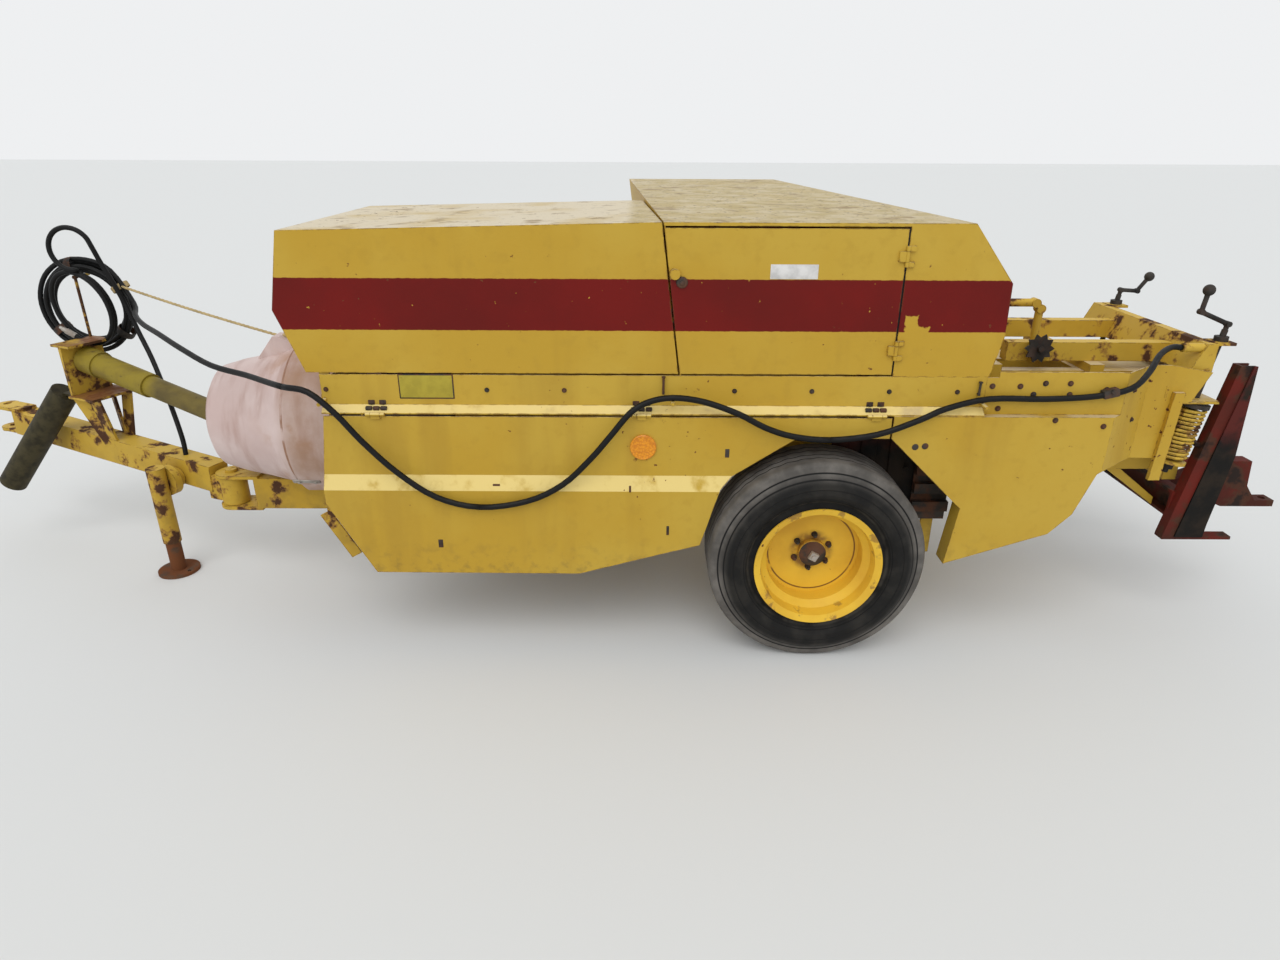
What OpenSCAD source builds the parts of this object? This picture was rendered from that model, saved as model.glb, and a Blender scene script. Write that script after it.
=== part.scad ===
// Square baler with a side pickup, standing on its wheels and its drawbar stand.
// Millimetres. X runs to the rear, Y to the machine's right, Z up from the ground.
// Inside the modules X = 0 is the axle and Y = 0 the middle of the bale chamber.

/* [Bale chamber] */
// Inside width of the bale chamber
bale_w = 460; // [360:1:500]
// Inside height of the bale chamber
bale_h = 360; // [340:1:380]
// Height of the chamber floor above the ground
floor_z = 580; // [570:1:600]
// Thickness of the chamber's plates
chamber_t = 8; // [5:1:12]
// Front end of the chamber, ahead of the axle
chamber_front = 1280; // [1200:1:1320]
// Rear end of the chamber, behind the axle
chamber_rear = 1400; // [1380:1:1440]

/* [Side band and hoods] */
// Distance from the chamber's middle to the left side band
side_y = 530; // [510:1:545]
// Thickness of the hoods and shields
sheet_t = 4; // [3:1:6]
// Height of the band's lower edge, where the shields hang
band_bottom = 880; // [860:1:890]
// Height of the band's top, where the hoods start
band_top = 1005; // [995:1:1010]
// Front end of the band, ahead of the axle
band_front = 1636; // [1600:1:1660]
// Height of the front hood's top at its rear end
hood_top = 1476; // [1440:1:1500]
// Distance from the chamber's middle to the right side of the front hood
hood_right = 400; // [360:1:440]
// Height of the rear hood's top on the left side
rear_top = 1476; // [1440:1:1500]
// Distance from the chamber's middle to the right side of the rear hood
rear_right = 1500; // [1450:1:1510]
// Gap round a door or lid
door_gap = 6; // [5:1:10]

/* [Lower shields] */
// How far the shields stand out from the band
shield_out = 30; // [20:1:40]
// How far the front shield's lower half steps out again
shield_step = 20; // [10:1:25]

/* [Wheels] */
// Radius of the tyres
tyre_r = 370; // [350:1:385]
// Width of the tyres
tyre_w = 262; // [230:1:280]
// Radius of the rim's flange
flange_r = 217; // [205:1:225]
// Distance from the chamber's middle to the left wheel's middle
left_wheel_y = 519; // [515:1:530]
// Distance from the chamber's middle to the right wheel's middle
right_wheel_y = 1669; // [1665:1:1720]
// Radius of the spindles
spindle_r = 25; // [20:1:30]
// Height and width of the axle beam
axle_h = 80; // [60:1:90]

/* [Drawbar] */
// Distance from the axle to the drawbar's pivot
pivot_x = 2270; // [2240:1:2300]
// Distance from the pivot to the hitch pin
hitch_s = 1380; // [1300:1:1450]
// Height of the hitch pin's hole
hitch_z = 500; // [460:1:540]
// How far the drawbar stands swung to the right
swing_angle = 23; // [10:1:25]
// Width of the drawbar's box
drawbar_w = 90; // [70:1:100]
// Height of the drawbar's box
drawbar_h = 110; // [90:1:120]
// Radius of the hitch pin's hole
hitch_hole_r = 16; // [12:1:20]
// Height of the chassis tongue's middle
tongue_z = 375; // [365:1:380]

/* [Stand] */
// Distance from the pivot to the stand
jack_s = 262; // [240:1:300]
// Radius of the stand's outer tube
jack_r = 35; // [30:1:40]
// Radius of the stand's foot plate
foot_r = 80; // [60:1:84]

/* [Drive] */
// Height of the drive shaft's line through the flywheel
drive_z = 690; // [680:1:700]
// Radius of the flywheel
flywheel_r = 215; // [180:1:225]
// Radius of the cover at its rear rim
cover_r = 290; // [280:1:300]
// Thickness of the cover
cover_t = 6; // [4:1:8]
// Distance from the drawbar's pivot to the shaft tower
tower_s = 690; // [660:1:720]

/* [Pickup] */
// Distance from the axle to the reel's middle
reel_x = 1100; // [1080:1:1120]
// Height of the reel's middle when it is raised
reel_z = 500; // [490:1:520]
// Radius of the tines' tips
tine_tip_r = 240; // [225:1:245]
// Radius of the bands between the tines
band_r = 185; // [170:1:190]
// Distance from one tine to the next along a bar
tine_pitch = 78; // [70:1:90]
// Left end of the pickup
pickup_left = 330; // [325:1:350]
// Number of bands across the pickup
band_count = 16; // [12:1:16]
// Distance from the axle to the pickup's pivot
lift_x = 700; // [680:1:710]
// Height of the pickup's pivot
lift_z = 520; // [510:1:525]
// Radius of the gauge wheel
gauge_r = 125; // [100:1:130]

/* [Needles] */
// Radius of the needles' arc
needle_r = 500; // [490:1:505]
// Distance from the axle to the needles' pivot
needle_x = 470; // [460:1:480]
// Height of the needles' pivot
needle_z = 760; // [750:1:765]
// Distance between the two needles
needle_pitch = 230; // [200:1:260]

/* [Bale tension] */
// Distance from the chamber's middle to each tension spring
spring_y = 330; // [320:1:350]
// Radius of the spring's coil, to the wire's middle
spring_coil_r = 44; // [38:1:50]
// Radius of the spring's wire
spring_wire_r = 6; // [4:1:8]

/* [Hidden] */
$fn = 48;

seat = 0.3;
run_gap = 0.05;
chamber_out = bale_w / 2 + chamber_t;
chamber_top = floor_z + bale_h + chamber_t;
shield_y = side_y + shield_out;
chain_front = pivot_x + hitch_s * cos(swing_angle) + 45;
hook_x = 1820;
middle_x = (hook_x - chain_front) / 2;
middle_y = (right_wheel_y - left_wheel_y) / 2;

hose_r = 10;
hose_route = [
    [1225, -355, 1062], [1185, -355, 1063], [1120, -400, 1072], [1050, -490, 1026], [970, -546, 974],
    [860, -548, 948], [700, -548, 938], [520, -550, 938], [380, -568, 911], [290, -588, 878],
    [160, -592, 830], [10, -592, 811], [-110, -592, 822], [-200, -590, 850], [-290, -588, 896],
    [-400, -576, 932], [-500, -572, 944], [-580, -576, 930], [-638, -588, 896], [-700, -597, 822],
    [-767, -600, 742], [-860, -600, 652], [-980, -600, 592], [-1138, -600, 570], [-1280, -600, 606],
    [-1400, -600, 694], [-1500, -600, 800], [-1575, -600, 896], [-1655, -592, 964], [-1740, -570, 974],
    [-1830, -495, 970], [-1930, -415, 969], [-2090, -320, 976], [-2250, -205, 1008], [-2400, -70, 1030],
    [-2540, 80, 1032], [-2660, 240, 1034], [-2730, 360, 1060], [-2761, 425, 1121], [-2778.6, 425, 1151.4]
];
coil_x = -2961;
coil_y = 425;
coil_z = 1035;
coil_r = 170;
coil_bundle = 36;

yellow = [0.85, 0.66, 0.12];
red = [0.45, 0.07, 0.06];
dark = [0.13, 0.12, 0.11];
rust = [0.36, 0.2, 0.12];
pink = [0.86, 0.76, 0.72];

// Moves a piece from the axle's middle to the frame of the whole baler.
module place() {
    translate([-middle_x, -middle_y, 0]) children();
}

// Points along an arc, from angle a0 to angle a1.
function arc(cx, cy, r, a0, a1, n) =
    [for (i = [0:n]) [cx + r * cos(a0 + (a1 - a0) * i / n), cy + r * sin(a0 + (a1 - a0) * i / n)]];

module box(low, high) {
    translate(low) cube(high - low);
}

// A flat outline given as [x, z] points, standing from y0 to y1.
module upright(points, y0, y1) {
    translate([0, y1, 0]) rotate([90, 0, 0]) linear_extrude(y1 - y0) polygon(points);
}

// A section given as [y, z] points, running from x0 to x1.
module along_x(points, x0, x1) {
    translate([x0, 0, 0]) rotate([90, 0, 90]) linear_extrude(x1 - x0) polygon(points);
}

module pin_y(x, z, y0, y1, r) {
    translate([x, y1, z]) rotate([90, 0, 0]) cylinder(h = y1 - y0, r = r);
}

module pin_x(y, z, x0, x1, r) {
    translate([x0, y, z]) rotate([0, 90, 0]) cylinder(h = x1 - x0, r = r);
}

module pin_z(x, y, z0, z1, r) {
    translate([x, y, z0]) cylinder(h = z1 - z0, r = r);
}

// A round rod from point a to point b.
module rod(a, b, r) {
    d = b - a;
    translate(a)
        rotate([0, acos(d[2] / norm(d)), atan2(d[1], d[0])])
            cylinder(h = norm(d), r = r);
}

// A straight bar of rectangular section from point a to point b.
module bar(a, b, section) {
    d = b - a;
    translate(a)
        rotate([0, acos(d[2] / norm(d)), atan2(d[1], d[0])])
            linear_extrude(norm(d)) square(section, center = true);
}

// A rod bent in an upright plane along X, with a knuckle at each bend.
module bent_rod(points, r) {
    for (i = [0:len(points) - 2]) rod(points[i], points[i + 1], r);
    for (i = [1:len(points) - 2])
        pin_y(points[i][0], points[i][2], points[i][1] - r - 3, points[i][1] + r + 3, r + 1.5);
}

// Chassis

tongue_w = 120;
tongue_h = 130;
tongue_top = tongue_z + tongue_h / 2;
tongue_front = pivot_x - 110;
tongue_rear = chamber_front - 300;
pivot_r = 24;
lug_t = 14;
lug_r = 60;
boss_h = 116;
bulkhead_x = band_front - 12;
box_z0 = floor_z - 130;
box_z1 = floor_z + bale_h - 30;

module chassis_tongue() color(yellow) {
    lug_gap = boss_h + 4;
    difference() {
        box([-tongue_front, -tongue_w / 2, tongue_z - tongue_h / 2], [-tongue_rear, tongue_w / 2, tongue_top]);
        box([-tongue_front - 1, -tongue_w / 2 + 8, tongue_z - tongue_h / 2 + 8],
            [-tongue_rear + 1, tongue_w / 2 - 8, tongue_top - 8]);
    }
    for (side = [-1, 1]) {
        z = tongue_z + side * (lug_gap + lug_t) / 2 - lug_t / 2;
        pin_z(-pivot_x, 0, z, z + lug_t, lug_r);
        box([-pivot_x, -lug_r, z], [-tongue_front + 20, lug_r, z + lug_t]);
    }
    box([-tongue_front, -tongue_w / 2, tongue_z - tongue_h / 2], [-tongue_front + 12, tongue_w / 2, tongue_top]);
    pin_z(-pivot_x, 0, tongue_z - lug_gap / 2 - lug_t - 12, tongue_z + lug_gap / 2 + lug_t + 12, pivot_r);
    // Risers from the tongue to the chamber's floor
    for (x = [-chamber_front + 20, -tongue_rear - 40])
        box([x, -tongue_w / 2, tongue_top], [x + 40, tongue_w / 2, floor_z - chamber_t]);
    // Front bulkhead that carries the side panels
    difference() {
        box([-bulkhead_x, -side_y + sheet_t, tongue_top], [-bulkhead_x + 8, hood_right - 8, band_top - 20]);
        box([-bulkhead_x - 1, -180, tongue_top + 90], [-bulkhead_x + 9, 180, box_z1 - 10]);
        box([-bulkhead_x - 1, -side_y + 60, tongue_top + 60], [-bulkhead_x + 9, -240, lid_pivot_z - 35]);
        box([-bulkhead_x - 1, 230, tongue_top + 60], [-bulkhead_x + 9, hood_right - 60, lid_pivot_z - 35]);
    }
    // Bracket behind the front shield's lower corner
    bar([-1700, -500, 500], [-1610, -500, 335], [40, 6]);
    box([-1690, -504, 480], [-bulkhead_x + 4, -496, 520]);
    // Ears and pins that the front hood tilts on
    for (y = lid_arms) {
        box([-lid_pivot_x - 12, y + 9, lid_pivot_z - 20], [-bulkhead_x + 1, y + 17, lid_pivot_z + 20]);
        pin_y(-lid_pivot_x, lid_pivot_z, y - 3, y + 12, lid_pin_r);
    }
}

slot_w = 40;
tension_lean = 8;
rod_r = 10;
spring_seat_z = 870;
spring_low_z = 647;
cap_t = 14;
cap_drop = 8;

// Places a piece on a tension rod's line, with z = 0 at the seat on the chamber.
module lean_at(side) {
    translate([1337, side * spring_y, spring_seat_z]) rotate([0, tension_lean, 0]) children();
}

module bale_chamber() color(yellow) difference() {
    union() {
        difference() {
            box([-chamber_front, -chamber_out, floor_z - chamber_t], [chamber_rear, chamber_out, chamber_top]);
            box([-chamber_front - 1, -bale_w / 2, floor_z], [chamber_rear + 1, bale_w / 2, floor_z + bale_h]);
        }
        // Ribs that stiffen the rear of the chamber
        for (x = [620, 980, chamber_rear - 60]) difference() {
            box([x, -chamber_out - 30, floor_z - chamber_t - 30], [x + 50, chamber_out + 30, chamber_top + 30]);
            box([x - 1, -chamber_out + 1, floor_z - chamber_t + 1], [x + 51, chamber_out - 1, chamber_top - 1]);
        }
        // Seats of the tension springs
        for (side = [-1, 1])
            box([1270, side < 0 ? -spring_y - 50 : chamber_out - 1, 870],
                [chamber_rear - 12, side < 0 ? -chamber_out + 1 : spring_y + 50, 880]);
        // Braces from the floor down to the end frame
        for (side = [-1, 1])
            upright([[1140, 573], [1195, 573], [1349.7, 455], [1349.7, 425]], side * 228 - 6, side * 228 + 6);
        // Pivot pins of the needle yoke
        for (side = [-1, 1]) mirror([0, side < 0 ? 1 : 0, 0])
            pin_y(needle_x, needle_z, chamber_out - 1, 336, 20);
    }
    // Feed opening in the right wall
    box([-720, bale_w / 2 - 1, floor_z + 20], [-120, chamber_out + 1, floor_z + bale_h - 20]);
    // Needle slots in the floor and the roof
    for (side = [-1, 1])
        box([-60, side * needle_pitch / 2 - slot_w / 2, floor_z - 60], [110, side * needle_pitch / 2 + slot_w / 2, chamber_top + 60]);
    // Holes for the tension rods
    for (side = [-1, 1]) lean_at(side) cylinder(h = 200, r = rod_r + 2, center = true);
    // Slots in the roof over the finished bale
    for (side = [-1, 1])
        box([700, side * 130 - 60, chamber_top - 20], [960, side * 130 + 60, chamber_top + 60]);
}

module gearbox() color(dark) {
    box([-1560, -150, tongue_top], [-1320, 150, box_z1]);
    difference() {
        pin_x(0, drive_z, -1780, -1550, 70);
        pin_x(0, drive_z, -1781, -1640, spindle_r + run_gap);
    }
    // Crank disc that drives the plunger
    pin_y(-1440, drive_z, 149, 180, 110);
    pin_y(-1440, drive_z + 60, 179, 190 + seat, 20);
}

module axle() color(yellow) {
    beam_y0 = -left_wheel_y + tyre_w / 2 + 20;
    beam_y1 = right_wheel_y - tyre_w / 2 - 20;
    z0 = tyre_r - axle_h / 2;
    z1 = tyre_r + axle_h / 2;
    box([-axle_h / 2, beam_y0, z0], [axle_h / 2, beam_y1, z1]);
    pin_y(0, tyre_r, -left_wheel_y - 30, beam_y0 + 5, spindle_r);
    pin_y(0, tyre_r, beam_y1 - 5, right_wheel_y + 30, spindle_r);
    for (y = [-200, 180]) box([-axle_h / 2, y, z1], [-5, y + 20, floor_z - chamber_t]);
    for (y = [700, 1400]) box([-axle_h / 2 - 60, y, z1 - 20], [-axle_h / 2 + 10, y + 20, feeder_floor]);
}

// Side band, hoods and shields

module side_band() color(yellow) {
    rear_x = 510;
    lip = shield_y - 4;
    along_x([[-side_y, band_top], [-side_y, band_bottom + 25], [-lip, band_bottom + 4], [-lip, band_bottom],
             [-side_y + sheet_t, band_bottom + 20], [-side_y + sheet_t, band_top]], -band_front, rear_x);
    // Hinges of the front shield
    for (x = shield_knuckles) {
        pin_x(shield_pin_y, shield_pin_z, x - 31, x + 31, shield_pin_r);
        for (low = [x - 31, x + 16]) {
            pin_x(shield_pin_y, shield_pin_z, low, low + 15, 6);
            box([low, shield_pin_y, shield_pin_z - 2], [low + 15, -lip + 1, shield_pin_z + 2]);
        }
    }
    // Pegs that the hose rests on
    for (peg = [[-1628, 921], [-500, 927.5], [500, 919]]) pin_y(peg[0], peg[1], -590, -side_y + 1, 6);
    // Sill under the right side of the front hood
    box([-band_front, hood_right - sheet_t, band_bottom], [-feeder_front - 14, hood_right, band_top]);
    // Brackets to the chamber's roof
    for (x = [-1200, -600, 150, 460]) {
        box([x, -side_y + sheet_t, chamber_top - 60], [x + 6, -chamber_out - seat, chamber_top]);
        box([x, -side_y + sheet_t, chamber_top], [x + 40, -chamber_out + 40, chamber_top + 6]);
    }
    for (x = [-1200, -800]) {
        box([x, chamber_out + seat, chamber_top - 60], [x + 6, hood_right - sheet_t, chamber_top]);
        box([x, chamber_out - 40, chamber_top], [x + 40, hood_right - sheet_t, chamber_top + 6]);
    }
}

seam_x = -477;
seam_lean = 7.1;
seam_skew = 3.6;

// All that lies behind the seam between the two hoods, moved back by offset.
module behind_seam(offset) {
    translate([seam_x, -side_y, band_top]) rotate([0, 0, seam_skew]) rotate([0, -seam_lean, 0])
        box([offset, -300, -400], [2500, 2600, 900]);
}

lid_pivot_x = 1660;
lid_pivot_z = 900;
lid_pin_r = 10;
lid_arms = [-430, 290];

// Side outline of the front hood, as [x, z].
front_hood_outline = [
    [-1703, hood_top - 28], [-1751, 1209], [-1676, band_top + door_gap], [-300, band_top + door_gap], [-300, hood_top + 6]
];

module front_hood() color(yellow) {
    t = sheet_t;
    inner = [
        [-1703 + t, hood_top - 28 - t], [-1751 + t, 1209], [-1676 + t, band_top - 1], [-200, band_top - 1],
        [-200, hood_top + 8 - t]
    ];
    difference() {
        upright(front_hood_outline, -side_y, hood_right);
        upright(inner, -side_y + t, hood_right - t);
        behind_seam(-door_gap);
    }
    // Arms down to the hood's pivot
    for (y = lid_arms) difference() {
        union() {
            upright([[-1748, 1206], [-1676, 1011], [-lid_pivot_x - 16, lid_pivot_z], [-lid_pivot_x + 16, lid_pivot_z],
                     [-1640, 1040]], y, y + 8);
            pin_y(-lid_pivot_x, lid_pivot_z, y, y + 8, 20);
        }
        pin_y(-lid_pivot_x, lid_pivot_z, y - 1, y + 9, lid_pin_r + run_gap);
    }
}

back_angle = 7.9;
top_angle = 0.85;
feeder_floor = 560;
feeder_front = 750;

// The rear hood's block, with each face moved inwards by inset.
module rear_block(inset) {
    rear_outline = [
        [-1500, band_top - inset], [-1500, 1700], [224, 1700], [536, 1300], [540, 1136], [513, band_top - inset]
    ];
    intersection() {
        translate([412, -side_y, 0]) rotate([0, 0, back_angle]) translate([-412 - inset, side_y, 0])
            upright(rear_outline, -side_y - 200, rear_right + 300);
        behind_seam(inset);
        translate([0, -side_y, rear_top - inset]) rotate([top_angle, 0, 0]) box([-1500, -100, -900], [1500, 2400, 0]);
        box([-1500, -side_y + inset, 900], [1500, rear_right - inset, 1700]);
    }
}

door_x1 = 205;
door_top = rear_top - 10;
door_pin_x = door_x1 - 3;
door_pin_y = -side_y - 7;
door_pin_r = 3;
door_knuckles = [band_top + 85, door_top - 86];

module rear_hood() color(yellow) {
    difference() {
        rear_block(0);
        rear_block(sheet_t);
        // Opening for the knotter door
        box([-700, -side_y - 1, band_top - 1], [door_x1, -side_y + sheet_t + 0.5, door_top]);
        // Opening to the front hood
        box([-800, -side_y + 30, band_top - 1], [-440, hood_right - 30, rear_top - 40]);
    }
    // Hinges of the knotter door
    for (z = door_knuckles) {
        pin_z(door_pin_x, door_pin_y, z - 31, z + 31, door_pin_r);
        for (low = [z - 31, z + 16]) difference() {
            union() {
                pin_z(door_pin_x, door_pin_y, low, low + 15, 6);
                box([door_pin_x, door_pin_y - 2, low], [door_x1 + 20, door_pin_y + 7, low + 15]);
            }
        }
    }
}

module knotter_door() color(yellow) {
    g = door_gap;
    difference() {
        box([-700, -side_y, band_top + g], [door_x1 - g, -side_y + sheet_t, door_top - g]);
        difference() {
            box([-900, -side_y - 1, band_top], [0, -side_y + sheet_t + 1, door_top]);
            behind_seam(0);
        }
    }
    // Latch
    pin_y(-500, door_top - 141, -side_y - 14, -side_y, 16);
    for (z = door_knuckles) difference() {
        union() {
            pin_z(door_pin_x, door_pin_y, z - 15, z + 15, 6);
            box([door_pin_x - 25, door_pin_y - 2, z - 15], [door_pin_x, door_pin_y + 7, z + 15]);
        }
        pin_z(door_pin_x, door_pin_y, z - 16, z + 16, door_pin_r + run_gap);
    }
}

shield_top = band_bottom - 6;
shield_pin_y = -shield_y - 6;
shield_pin_z = band_bottom + 2;
shield_pin_r = 3;
shield_knuckles = [-1460, -600, 160];

shield_outline = [
    [-1630, shield_top], [-1658, 663], [-1659, 571], [-1517, 310], [-813, 307], [-tyre_r - 131, tyre_r + 23],
    [-tyre_r - 28, tyre_r + 50], [-tyre_r + 33, tyre_r + 256], [-tyre_r + 74, tyre_r + 300], [-91, tyre_r + 434],
    [212, tyre_r + 434], [212, shield_top]
];

module front_shield() color(yellow) {
    y1 = shield_y;
    y2 = shield_y + shield_step;
    t = sheet_t;
    intersection() {
        along_x([[-y1, shield_top], [-y1, 670], [-y2, 620], [-y2, 300], [-y2 + t, 300], [-y2 + t, 621],
                 [-y1 + t, 671], [-y1 + t, shield_top]], -1700, 300);
        upright(shield_outline, -side_y - 100, -side_y + 50);
    }
    for (x = shield_knuckles) difference() {
        union() {
            pin_x(shield_pin_y, shield_pin_z, x - 15, x + 15, 6);
            box([x - 15, shield_pin_y, shield_top - 8], [x + 15, shield_pin_y + 6, shield_pin_z]);
        }
        pin_x(shield_pin_y, shield_pin_z, x - 16, x + 16, shield_pin_r + run_gap);
    }
}

// A sheet that follows [x, y] points in plan, from z0 to z1.
module plan_sheet(points, z0, z1) {
    inner = [for (i = [len(points) - 1:-1:0]) points[i] + [0, sheet_t]];
    translate([0, 0, z0]) linear_extrude(z1 - z0) polygon(concat(points, inner));
}

panel_front = 510 + seat;
rear_end = [[1110, -405], [1330, -390]];
lower_plan = concat([[218, -shield_y], [930, -shield_y]], rear_end);
upper_plan = concat([[panel_front, -side_y], [965, -side_y]], rear_end);
rear_shield_outline = [
    [218, band_bottom], [218, tyre_r + 434], [tyre_r + 111, 553], [tyre_r + 84, 342], [796, 459], [865, 534],
    [917, 681], [930, 690], [1195, 678], [1212, 865], [1281, 883], [1330, 985], [1180, 1012], [930, 1022],
    [548, 1022], [548, band_top - 2], [panel_front, band_top - 2], [panel_front, band_bottom]
];

module rear_shield() color(yellow) {
    intersection() {
        union() {
            plan_sheet(lower_plan, 330, band_bottom);
            plan_sheet(upper_plan, band_bottom - 1, 1030);
        }
        upright(rear_shield_outline, -shield_y - 10, -300);
    }
    // Step between the lower and the upper part
    translate([0, 0, band_bottom - 4]) linear_extrude(4)
        polygon(concat(lower_plan, [for (i = [3:-1:0]) upper_plan[i] + [0, sheet_t]], [[218, -side_y + sheet_t]]));
    // Lip along the wheel's opening
    upright([[tyre_r + 111, 553], [tyre_r + 84, 342], [tyre_r + 90, 342], [tyre_r + 117, 553]], -shield_y, -shield_y + 70);
    // Link that hangs outside the panel's rear end
    upright([[1190, 600], [1230, 600], [1240, 920], [1205, 920]], -415, -399);
    // Brackets to the chamber's side
    for (x = [560, 860]) box([x, -shield_y + sheet_t, 760], [x + 6, -chamber_out - seat, 860]);
    box([1180, -401, 900], [1186, -chamber_out - seat, 940]);
}

// Drive

cover_front = 2235;
cover_back = 1700;

module flywheel_cover() color(pink) difference() {
    union() {
        translate([0, 0, drive_z]) rotate([0, 90, 0]) rotate_extrude($fn = 64) polygon([
            [130, -cover_front], [170, -cover_front], [200, -2215], [222, -2140], [240, -2050], [262, -1960],
            [cover_r, -1900], [cover_r + 12, -1890], [cover_r + 12, -cover_back],
            [cover_r + 12 - cover_t, -cover_back], [cover_r + 12 - cover_t, -1884], [cover_r - cover_t, -1896],
            [262 - cover_t, -1956], [240 - cover_t, -2047], [222 - cover_t, -2137], [198 - cover_t, -2209],
            [168, -cover_front + cover_t], [130, -cover_front + cover_t]
        ]);
        // Hump over the drive's clutch
        upright([[-2058, 916], [-2058, 930], [-1992, 1012], [-1968, 1012], [-1905, 978], [-1905, 950]], -38, 38);
    }
    box([-2400, -400, 0], [-cover_back + 10, 400, tongue_top + seat]);
    // Room for the front hood when it tilts
    box([-1838, -400, 940], [-cover_back + 10, 400, 1200]);
}

module flywheel() color(dark) {
    pin_x(0, drive_z, -2040, -1970, flywheel_r);
    pin_x(0, drive_z, -2100, -1900, 60);
    pin_x(0, drive_z, -2190, -1650, spindle_r);
    pin_x(0, drive_z, -2210, -2180, 45);
}

// Places a piece of the drawbar, drawn along -X from the pivot, at its parked swing.
module on_drawbar() {
    translate([-pivot_x, 0, 0]) rotate([0, 0, -swing_angle]) children();
}

beam_z = 410;
beam_pitch = atan((hitch_z - beam_z) / hitch_s);
function beam_top(s) = beam_z + s * tan(beam_pitch) + drawbar_h / 2 / cos(beam_pitch);

module drawbar() color(yellow) on_drawbar() {
    beam_end = hitch_s - 90;
    difference() {
        union() {
            pin_z(0, 0, tongue_z - boss_h / 2, tongue_z + boss_h / 2, 52);
            box([-100, -drawbar_w / 2 + 4, tongue_z - boss_h / 2 + 10], [-20, drawbar_w / 2 - 4, tongue_z + boss_h / 2]);
        }
        pin_z(0, 0, 0, 900, pivot_r + run_gap);
    }
    translate([0, 0, beam_z]) rotate([0, beam_pitch, 0]) difference() {
        box([-beam_end, -drawbar_w / 2, -drawbar_h / 2], [-75, drawbar_w / 2, drawbar_h / 2]);
        box([-beam_end - 1, -drawbar_w / 2 + 8, -drawbar_h / 2 + 8], [-90, drawbar_w / 2 - 8, drawbar_h / 2 - 8]);
    }
    // Hitch plates
    translate([-hitch_s, 0, hitch_z]) for (side = [-1, 1]) difference() {
        plate_z = side * (drawbar_h / 2 - 3);
        union() {
            translate([0, 0, plate_z - 8]) cylinder(h = 16, r = 46);
            box([0, -42, plate_z - 8], [140, 42, plate_z + 8]);
        }
        translate([0, 0, -100]) cylinder(h = 200, r = hitch_hole_r);
    }
    // Stub that carries the stand
    pin_y(-jack_s, 400, -drawbar_w / 2 - 28, -drawbar_w / 2 + 4, 40);
}

jack_y = -138;

module jack_leg() color(yellow) on_drawbar() {
    difference() {
        pin_z(-jack_s, jack_y, 140, 470, jack_r);
        pin_z(-jack_s, jack_y, 130, 440, jack_r - 6);
    }
    pin_y(-jack_s, 400, jack_y + jack_r - 3, -drawbar_w / 2 - 29, 62);
}

module jack_foot() color(rust) on_drawbar() {
    difference() {
        pin_z(-jack_s, jack_y, 0, 12, foot_r);
        pin_z(-jack_s + 60, jack_y, -1, 13, 8);
    }
    pin_z(-jack_s, jack_y, 12, 250, jack_r - 6 - run_gap);
}

module beam_block(grow) {
    translate([0, 0, beam_z]) rotate([0, beam_pitch, 0])
        box([-hitch_s, -drawbar_w / 2 - grow, -drawbar_h / 2 - grow], [-75, drawbar_w / 2 + grow, drawbar_h / 2 + grow]);
}

plate_s = tower_s + 45;

module shaft_tower() color(yellow) {
    on_drawbar() {
        foot = beam_top(tower_s) - 20;
        for (side = [-1, 1]) difference() {
            union() {
                bar([-tower_s - 35, side * 70, 697], [-tower_s + 40, side * 36, foot], [55, 11]);
                bar([-tower_s + 62, side * 72, 697], [-tower_s + 62, side * 36, foot], [11, 55]);
            }
            beam_block(seat);
            box([-tower_s - 120, -130, 696], [-tower_s + 120, 130, 760]);
        }
        box([-plate_s - 15, -100, 690], [-tower_s + 90, 100, 700]);
        // Plate across that holds the front of the shaft guard
        box([-plate_s - 15, -88, 699], [-plate_s, 88, 906]);
        box([-tower_s - 100, -90, 905], [-tower_s + 10, 90, 915]);
    }
    // Peg that the hose's coil hangs on
    peg_z = coil_z - coil_r + coil_bundle - 6 - seat + 2 * (coil_r - coil_bundle);
    bent_rod([[coil_x, coil_y - 46, 912], [coil_x, coil_y - 46, peg_z], [coil_x, coil_y + 46, peg_z]], 6);
}

shaft_front = [-plate_s + 11, 0, 838];
shaft_rear = [0, 0, drive_z + 2];

module shaft_guard() color(yellow) on_drawbar() {
    run = shaft_rear - shaft_front;
    rod(shaft_front, shaft_front + 0.12 * run, 56);
    rod(shaft_front + 0.11 * run, shaft_front + 0.5 * run, 50);
    rod(shaft_front + 0.49 * run, shaft_rear, 42);
}

module open_guard() color([0.36, 0.37, 0.3]) on_drawbar() {
    a = [-tower_s - 135, -62, 700];
    b = [-tower_s - 455, -195, 280];
    difference() {
        rod(a, b, 53);
        rod(a + 0.2 * (b - a), b + 0.1 * (b - a), 47);
    }
    // Strap that hangs it from the tower's lower plate
    box([-tower_s - 140, -80, 690], [-plate_s - 15 - seat, -40, 700]);
}

// Wheels

module tyre() color(dark) {
    h = tyre_w / 2;
    bulge = 62;
    shoulder = 22;
    bead = flange_r - 18;
    side = concat(
        arc(flange_r + 68, h - bulge, bulge, 150, 40, 5),
        arc(tyre_r - shoulder, h - 48, shoulder, 60, 0, 3)
    );
    mirrored = [for (i = [len(side) - 1:-1:0]) [side[i][0], -side[i][1]]];
    rotate([90, 0, 0]) rotate_extrude($fn = 64) polygon(concat(
        [[bead, h - 24]], side, mirrored, [[bead, -h + 24], [bead, -h + 44], [flange_r + 40, -h + 30],
        [tyre_r - 24, -h + 60], [tyre_r - 24, h - 60], [flange_r + 40, h - 30], [bead, h - 44]]
    ));
}

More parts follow.
